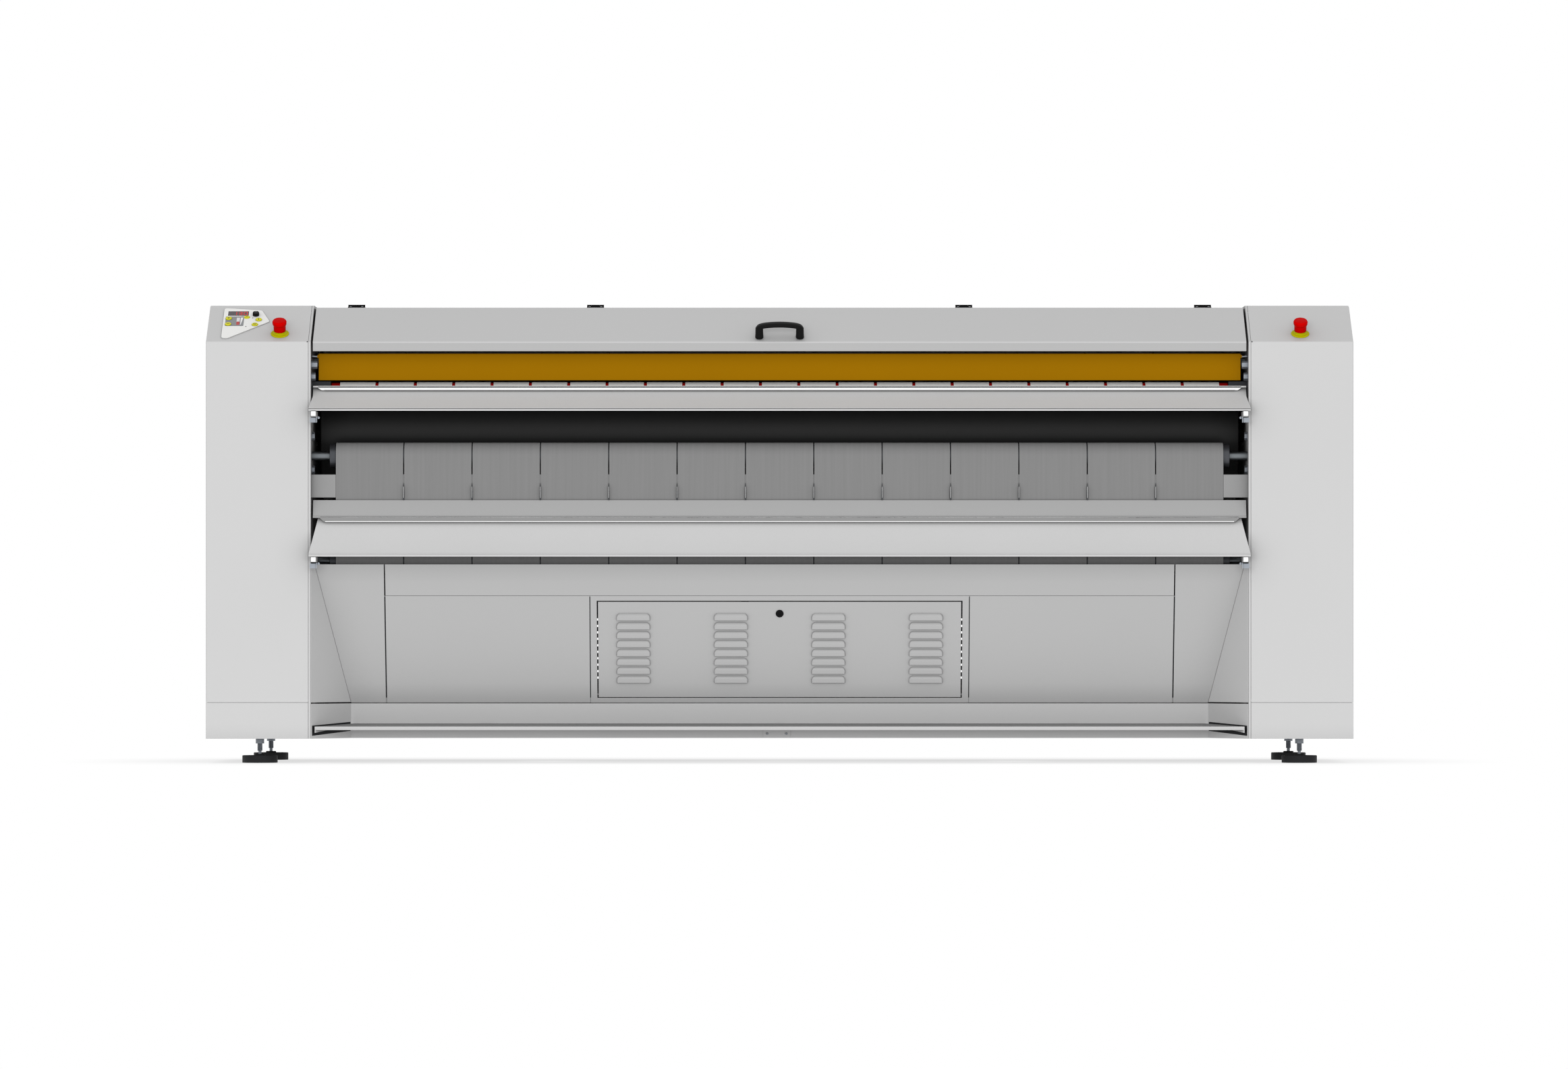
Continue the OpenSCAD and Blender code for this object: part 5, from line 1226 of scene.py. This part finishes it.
plate_white = coat("polyester_overlay_white", "f3f3f1", roughness=0.35, peel_mm=0.7, peel=0.02)
print_grey = coat("printed_ink_grey", "8e9092", roughness=0.5)
print_dark = coat("printed_ink_dark", "222224", roughness=0.5)
print_red = coat("printed_ink_red", "c8100c", roughness=0.5)
print_pale = coat("printed_ink_pale", "f6f6f6", roughness=0.5)
key_yellow = coat("key_plastic_yellow", "dcd80f", roughness=0.45, peel=0.03)
plate_t = 0.002
plate_corner_r = 0.0085
plate_shares = np.array([[0, 0], [0.14, 0], [1, 0.55], [0.81, 0.92], [0, 1]])
plate_corners = plate_shares * (panel_w, panel_h)
plate_cut = (-0.002, 0.004)
rim_w = 0.0007


def soft_outline(corners, radius, inset=0.0):
    """A closed outline with rounded corners, drawn in towards its middle by an inset."""
    corners = np.asarray(corners, float)
    middle = corners.mean(0)
    corners = middle + (corners - middle) * (1 - inset / np.abs(corners - middle).max())
    start = (corners[-1] + corners[0]) / 2
    return fillet(np.vstack([start, corners, start]), radius, 6)[1:-1]


keys = {"plus": (15, 113), "minus": (15, 80), "menu": (64, 121), "start": (97, 106), "stop": (88, 78)}
knob_at = (88, 133)
display_at, display_size = (12, 130), (56, 26)
key_r = 0.0085
key_gap = 0.0003
knob_hole_r = 0.0031


def panel_box(x, y, w, h, low, high):
    """A flat rectangle on the control plate; x, y, w and h in mm, low and high in metres."""
    return prism(rect(0, 0, w / 1000, h / 1000), low, high, on_panel(x, y))


made = piece("plate_sheet", "machine", slot_of["control_plate"], plate_white,
             *prism(soft_outline(plate_corners, plate_corner_r), 0.0001, plate_t, panel), ["control_plate"])
holes = [prism(disc(key_r + key_gap), *plate_cut, on_panel(*at)) for at in keys.values()]
holes.append(prism(disc(knob_hole_r), *plate_cut, on_panel(*knob_at)))
holes.append(panel_box(*display_at, *display_size, *plate_cut))
punch(made, *gathered(holes))
ease(made, 0.0003)
rim = soft_outline(plate_corners, plate_corner_r)
inner_rim = soft_outline(plate_corners, plate_corner_r - 0.0005, rim_w)
rim_low, rim_high = plate_t - 0.0006, plate_t + 0.00006
rows = np.vstack([np.column_stack([ring, np.full(len(rim), h)])
                  for ring, h in ((rim, rim_low), (rim, rim_high), (inner_rim, rim_high))])
piece("plate_rim", "machine", slot_of["control_plate"], print_grey,
      placed(rows, panel), grid_faces(3, len(rim), closed=True))

# Printed on the plate: a grey field under two keys, a bar scale with a pale wedge, and two dots.
ink_z = plate_t + 0.00005
over_ink = (ink_z - 0.0001, ink_z + 0.00005)
made = piece("plate_field", "machine", slot_of["control_plate"], print_grey,
             *prism(soft_outline(rect(0.0065, 0.070, 0.057, 0.126), 0.004), plate_t - 0.0002, ink_z, panel))
field_holes = [prism(disc(key_r + key_gap), *plate_cut, on_panel(*keys[name])) for name in ("plus", "minus")]
punch(made, *gathered(field_holes))
bar_count, bars_lit, bar_pitch = 9, 4, 4.6
bars = [panel_box(37, 78 + i * bar_pitch, 8.5, 3.4, *over_ink) for i in range(bar_count)]
piece("plate_bar_low", "machine", slot_of["control_plate"], print_red, *gathered(bars[:bars_lit]))
piece("plate_bar_high", "machine", slot_of["control_plate"], print_pale, *gathered(bars[bars_lit:]))
wedge = [(0.0478, 0.078), (0.0492, 0.078), (0.0545, 0.119), (0.0478, 0.119)]
piece("plate_wedge", "machine", slot_of["control_plate"], print_pale, *prism(wedge, *over_ink, panel))
dots = [prism(disc(0.0017, sides=20), ink_z - 0.0001, ink_z + 0.0001, on_panel(*at))
        for at in ((80, 117), (64, 68))]
piece("plate_dots", "machine", slot_of["control_plate"], print_dark, *gathered(dots))

# Display: a smoked window with red seven-segment digits that glow a little, on a board behind the plate.
window_grey = coat("smoked_window_grey", "4a4447", roughness=0.25, peel=0.0)
window_gap = 0.3
board_top, board_low = -0.009, -0.011
window = panel_box(display_at[0] + window_gap, display_at[1] + window_gap, display_size[0] - 2 * window_gap,
                   display_size[1] - 2 * window_gap, board_top, plate_t)
board = panel_box(8.5, 71.5, 79, 91, board_low, board_top)
piece("display_window", "machine", slot_of["display"], window_grey, *gathered([window, board]), ["display"])
lit_red = bpy.data.materials.new("lit_segment_red")
lit_red.use_nodes = True
skin = lit_red.node_tree.nodes["Principled BSDF"]
skin.inputs["Base Color"].default_value = linear("b01818")
skin.inputs["Emission Color"].default_value = linear("ff2010")
skin.inputs["Emission Strength"].default_value = 0.35
segment_ends = {"a": ((0, 1), (1, 1)), "b": ((1, 1), (1, 0.5)), "c": ((1, 0.5), (1, 0)),
                "d": ((0, 0), (1, 0)), "e": ((0, 0.5), (0, 0)), "f": ((0, 1), (0, 0.5)),
                "g": ((0, 0.5), (1, 0.5))}
segments = {"1": "bc", "3": "abcdg", "0": "abcdef"}
digit_w, digit_h, stroke, mitre = 9.0, 17.0, 1.3, 0.5
digit_first, digit_pitch, digit_up = 14, 14.5, 4.5
lit = []
for place_n, digit in enumerate("130"):
    corner = (display_at[0] + digit_first + place_n * digit_pitch, display_at[1] + digit_up)
    for name in segments[digit]:
        p, q = (np.array(end) * (digit_w, digit_h) + corner for end in segment_ends[name])
        u = (q - p) / np.linalg.norm(q - p)
        v = np.array([-u[1], u[0]]) * stroke
        near, far = u * mitre, u * (mitre + stroke)
        bar = np.array([p + near, p + far - v, q - far - v, q - near, q - far + v, p + far + v])
        lit.append(prism(bar / 1000, plate_t - 0.0002, plate_t + 0.0001, panel))
piece("display_digits", "machine", slot_of["display"], lit_red, *gathered(lit))


# Keys: shallow domed yellow buttons, each with its printed mark.
def mark_bar(half_w, half_h, y=0.0):
    """A printed bar across a key's middle, or y mm above it, by its half sizes in mm."""
    return rect(-half_w, y - half_h, half_w, y + half_h)


marks = {"plus": [mark_bar(4, 0.9), mark_bar(0.9, 4)], "minus": [mark_bar(4, 0.9)],
         "menu": [mark_bar(2.4, 0.6, -1.8), mark_bar(2.4, 0.6, 1.8)], "start": [mark_bar(0.9, 4)],
         "stop": []}
menu_share = 0.72
key_foot, key_side = -0.0064, key_r - 0.0001
mark_low, mark_high = 0.0042, 0.00458
stop_ring = [(0.0027, mark_high), (0.0042, mark_high), (0.0042, mark_low), (0.0027, mark_low)]
for name, at in keys.items():
    r = key_r * (menu_share if name == "menu" else 1)
    button = fillet([(0.001, key_foot), (key_side, key_foot), (key_side, plate_t + 0.0004),
                     (r, plate_t + 0.0006), (r, 0.0040), (r * 0.86, 0.0044), (0.001, 0.0045)], 0.0006, 3)
    cad = name + "_key"
    piece(name + "_button", cad, slot_of[cad], key_yellow, *turned(button, on_panel(*at), 40), [cad])
    printed = [prism(np.array(mark) / 1000, mark_low, mark_high, on_panel(*at)) for mark in marks[name]]
    if name == "stop":
        printed = [turned_loop(stop_ring, on_panel(*at), 32)]
    piece(name + "_mark", cad, slot_of[cad], print_dark, *gathered(printed))

# Knob: black, fluted, with a pale pointer line.
knob_sides, knob_flutes, flute_share = 72, 12, 0.05
knob_rows = [(0.001, 0.0022), (0.009, 0.0022), (0.0088, 0.0098), (0.0080, 0.0108), (0.001, 0.0108)]
knob_stem = [(0.0005, -0.010), (0.0028, -0.010), (0.0028, 0.003), (0.0005, 0.003)]
knob_place = on_panel(*knob_at)
a = np.arange(knob_sides) * 2 * np.pi / knob_sides
flute = 1 - flute_share * np.clip(np.cos(a * knob_flutes), 0, 1)
rings = spun(knob_rows, knob_sides).reshape(-1, knob_sides, 3)
rings[1:3, :, :2] *= flute[None, :, None]
grip = (placed(rings.reshape(-1, 3), knob_place), closed_faces(len(knob_rows), knob_sides))
piece("knob_grip", "knob", slot_of["knob"], moulded_black,
      *gathered([grip, turned(knob_stem, knob_place, 20)]), ["knob"])
pointer = rect(-0.0005, 0.003, 0.0005, 0.0078)
piece("knob_pointer", "knob", slot_of["knob"], print_pale, *prism(pointer, 0.0106, 0.01088, knob_place))


# Emergency stops: a red mushroom cap with a hollow skirt on a yellow collar, one on each column's slope.
# Moulded plastic with a soft gloss.
stop_red = coat("moulded_plastic_red", "cb0000", roughness=0.35, peel=0.01, shine=0.02)
stop_yellow = coat("moulded_plastic_yellow", "c2be00", roughness=0.45, peel=0.02, shine=0.05)
mushroom = fillet([(0.0040, -0.0120), (0.0040, 0.0160), (0.0154, 0.0160), (0.0156, 0.0102), (0.0164, 0.0102),
                   (0.0166, 0.0262), (0.0190, 0.0300), (0.0195, 0.0370), (0.0170, 0.0412), (0.0008, 0.0418)],
                  0.0014, 4)
mushroom = np.vstack([(0.0008, -0.0120), mushroom])
collar = fillet([(0.0060, 0.0001), (0.0248, 0.0001), (0.0250, 0.0012), (0.0225, 0.0029), (0.0178, 0.0032),
                 (0.0150, 0.0050), (0.0147, 0.0098), (0.0060, 0.0098)], 0.0004, 2)
collars = []
for body in ("left_estop", "right_estop"):
    cad = body + "_cap"
    low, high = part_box(cad)
    at = slope @ Matrix.Translation(((low.x + high.x) / 2, estop_up, 0))
    piece(body + "_mushroom", body, slot_of[cad], stop_red, *turned(mushroom, at, 56), [cad])
    collars.append(turned_loop(collar, at, 64))
piece("stop_collars", "machine", slot_of["estop_collars"], stop_yellow, *gathered(collars),
      ["estop_collars"])


# Inside: drive, heater, fan, controls' box and cable gland. Machine enamel, galvanised sheet, black oxide
# steel and moulded plastic, as such parts are bought in.
motor_enamel = coat("machine_enamel_grey_blue", "56606c", roughness=0.4, peel=0.06)
galvanised = coat("galvanised_sheet", "a7abb0", roughness=0.42, metallic=0.8, mottle=0.08)
oxide = coat("black_oxide_steel", "3c3d40", roughness=0.45, metallic=0.8, mottle=0.06)
sheath = coat("heat_resistant_alloy_sheath", "5c5751", roughness=0.5, metallic=0.7, mottle=0.1)
broken("gearmotor", 0.0008, motor_enamel)
broken("fan_housing", edge_break, galvanised)
broken("fan_impeller", edge_break, galvanised)
broken("control_box", edge_break, galvanised)
broken("cable_gland", 0.0006, moulded_black)
dress("motor_sprocket", oxide)
dress("drive_chain", oxide)
dress("heater_bank", sheath)

# Pan-head screws hold the rear covers along both sides.
back = column_front + 0.650
screw_rows = (0.20, 0.45, 0.70, 0.95, 1.19)
screw_lines = (1.262, 1.292, 1.536)
heads = []
for side in (-1, 1):
    for z in screw_rows:
        for x in screw_lines:
            place = Matrix.Translation((side * x, back, z)) @ Matrix.Rotation(-math.pi / 2, 4, "X")
            heads.append(screw_head(place, 0.0045, 0.0024))
piece("rear_screws", "machine", "zinc_plated", screw_steel, *gathered(heads))
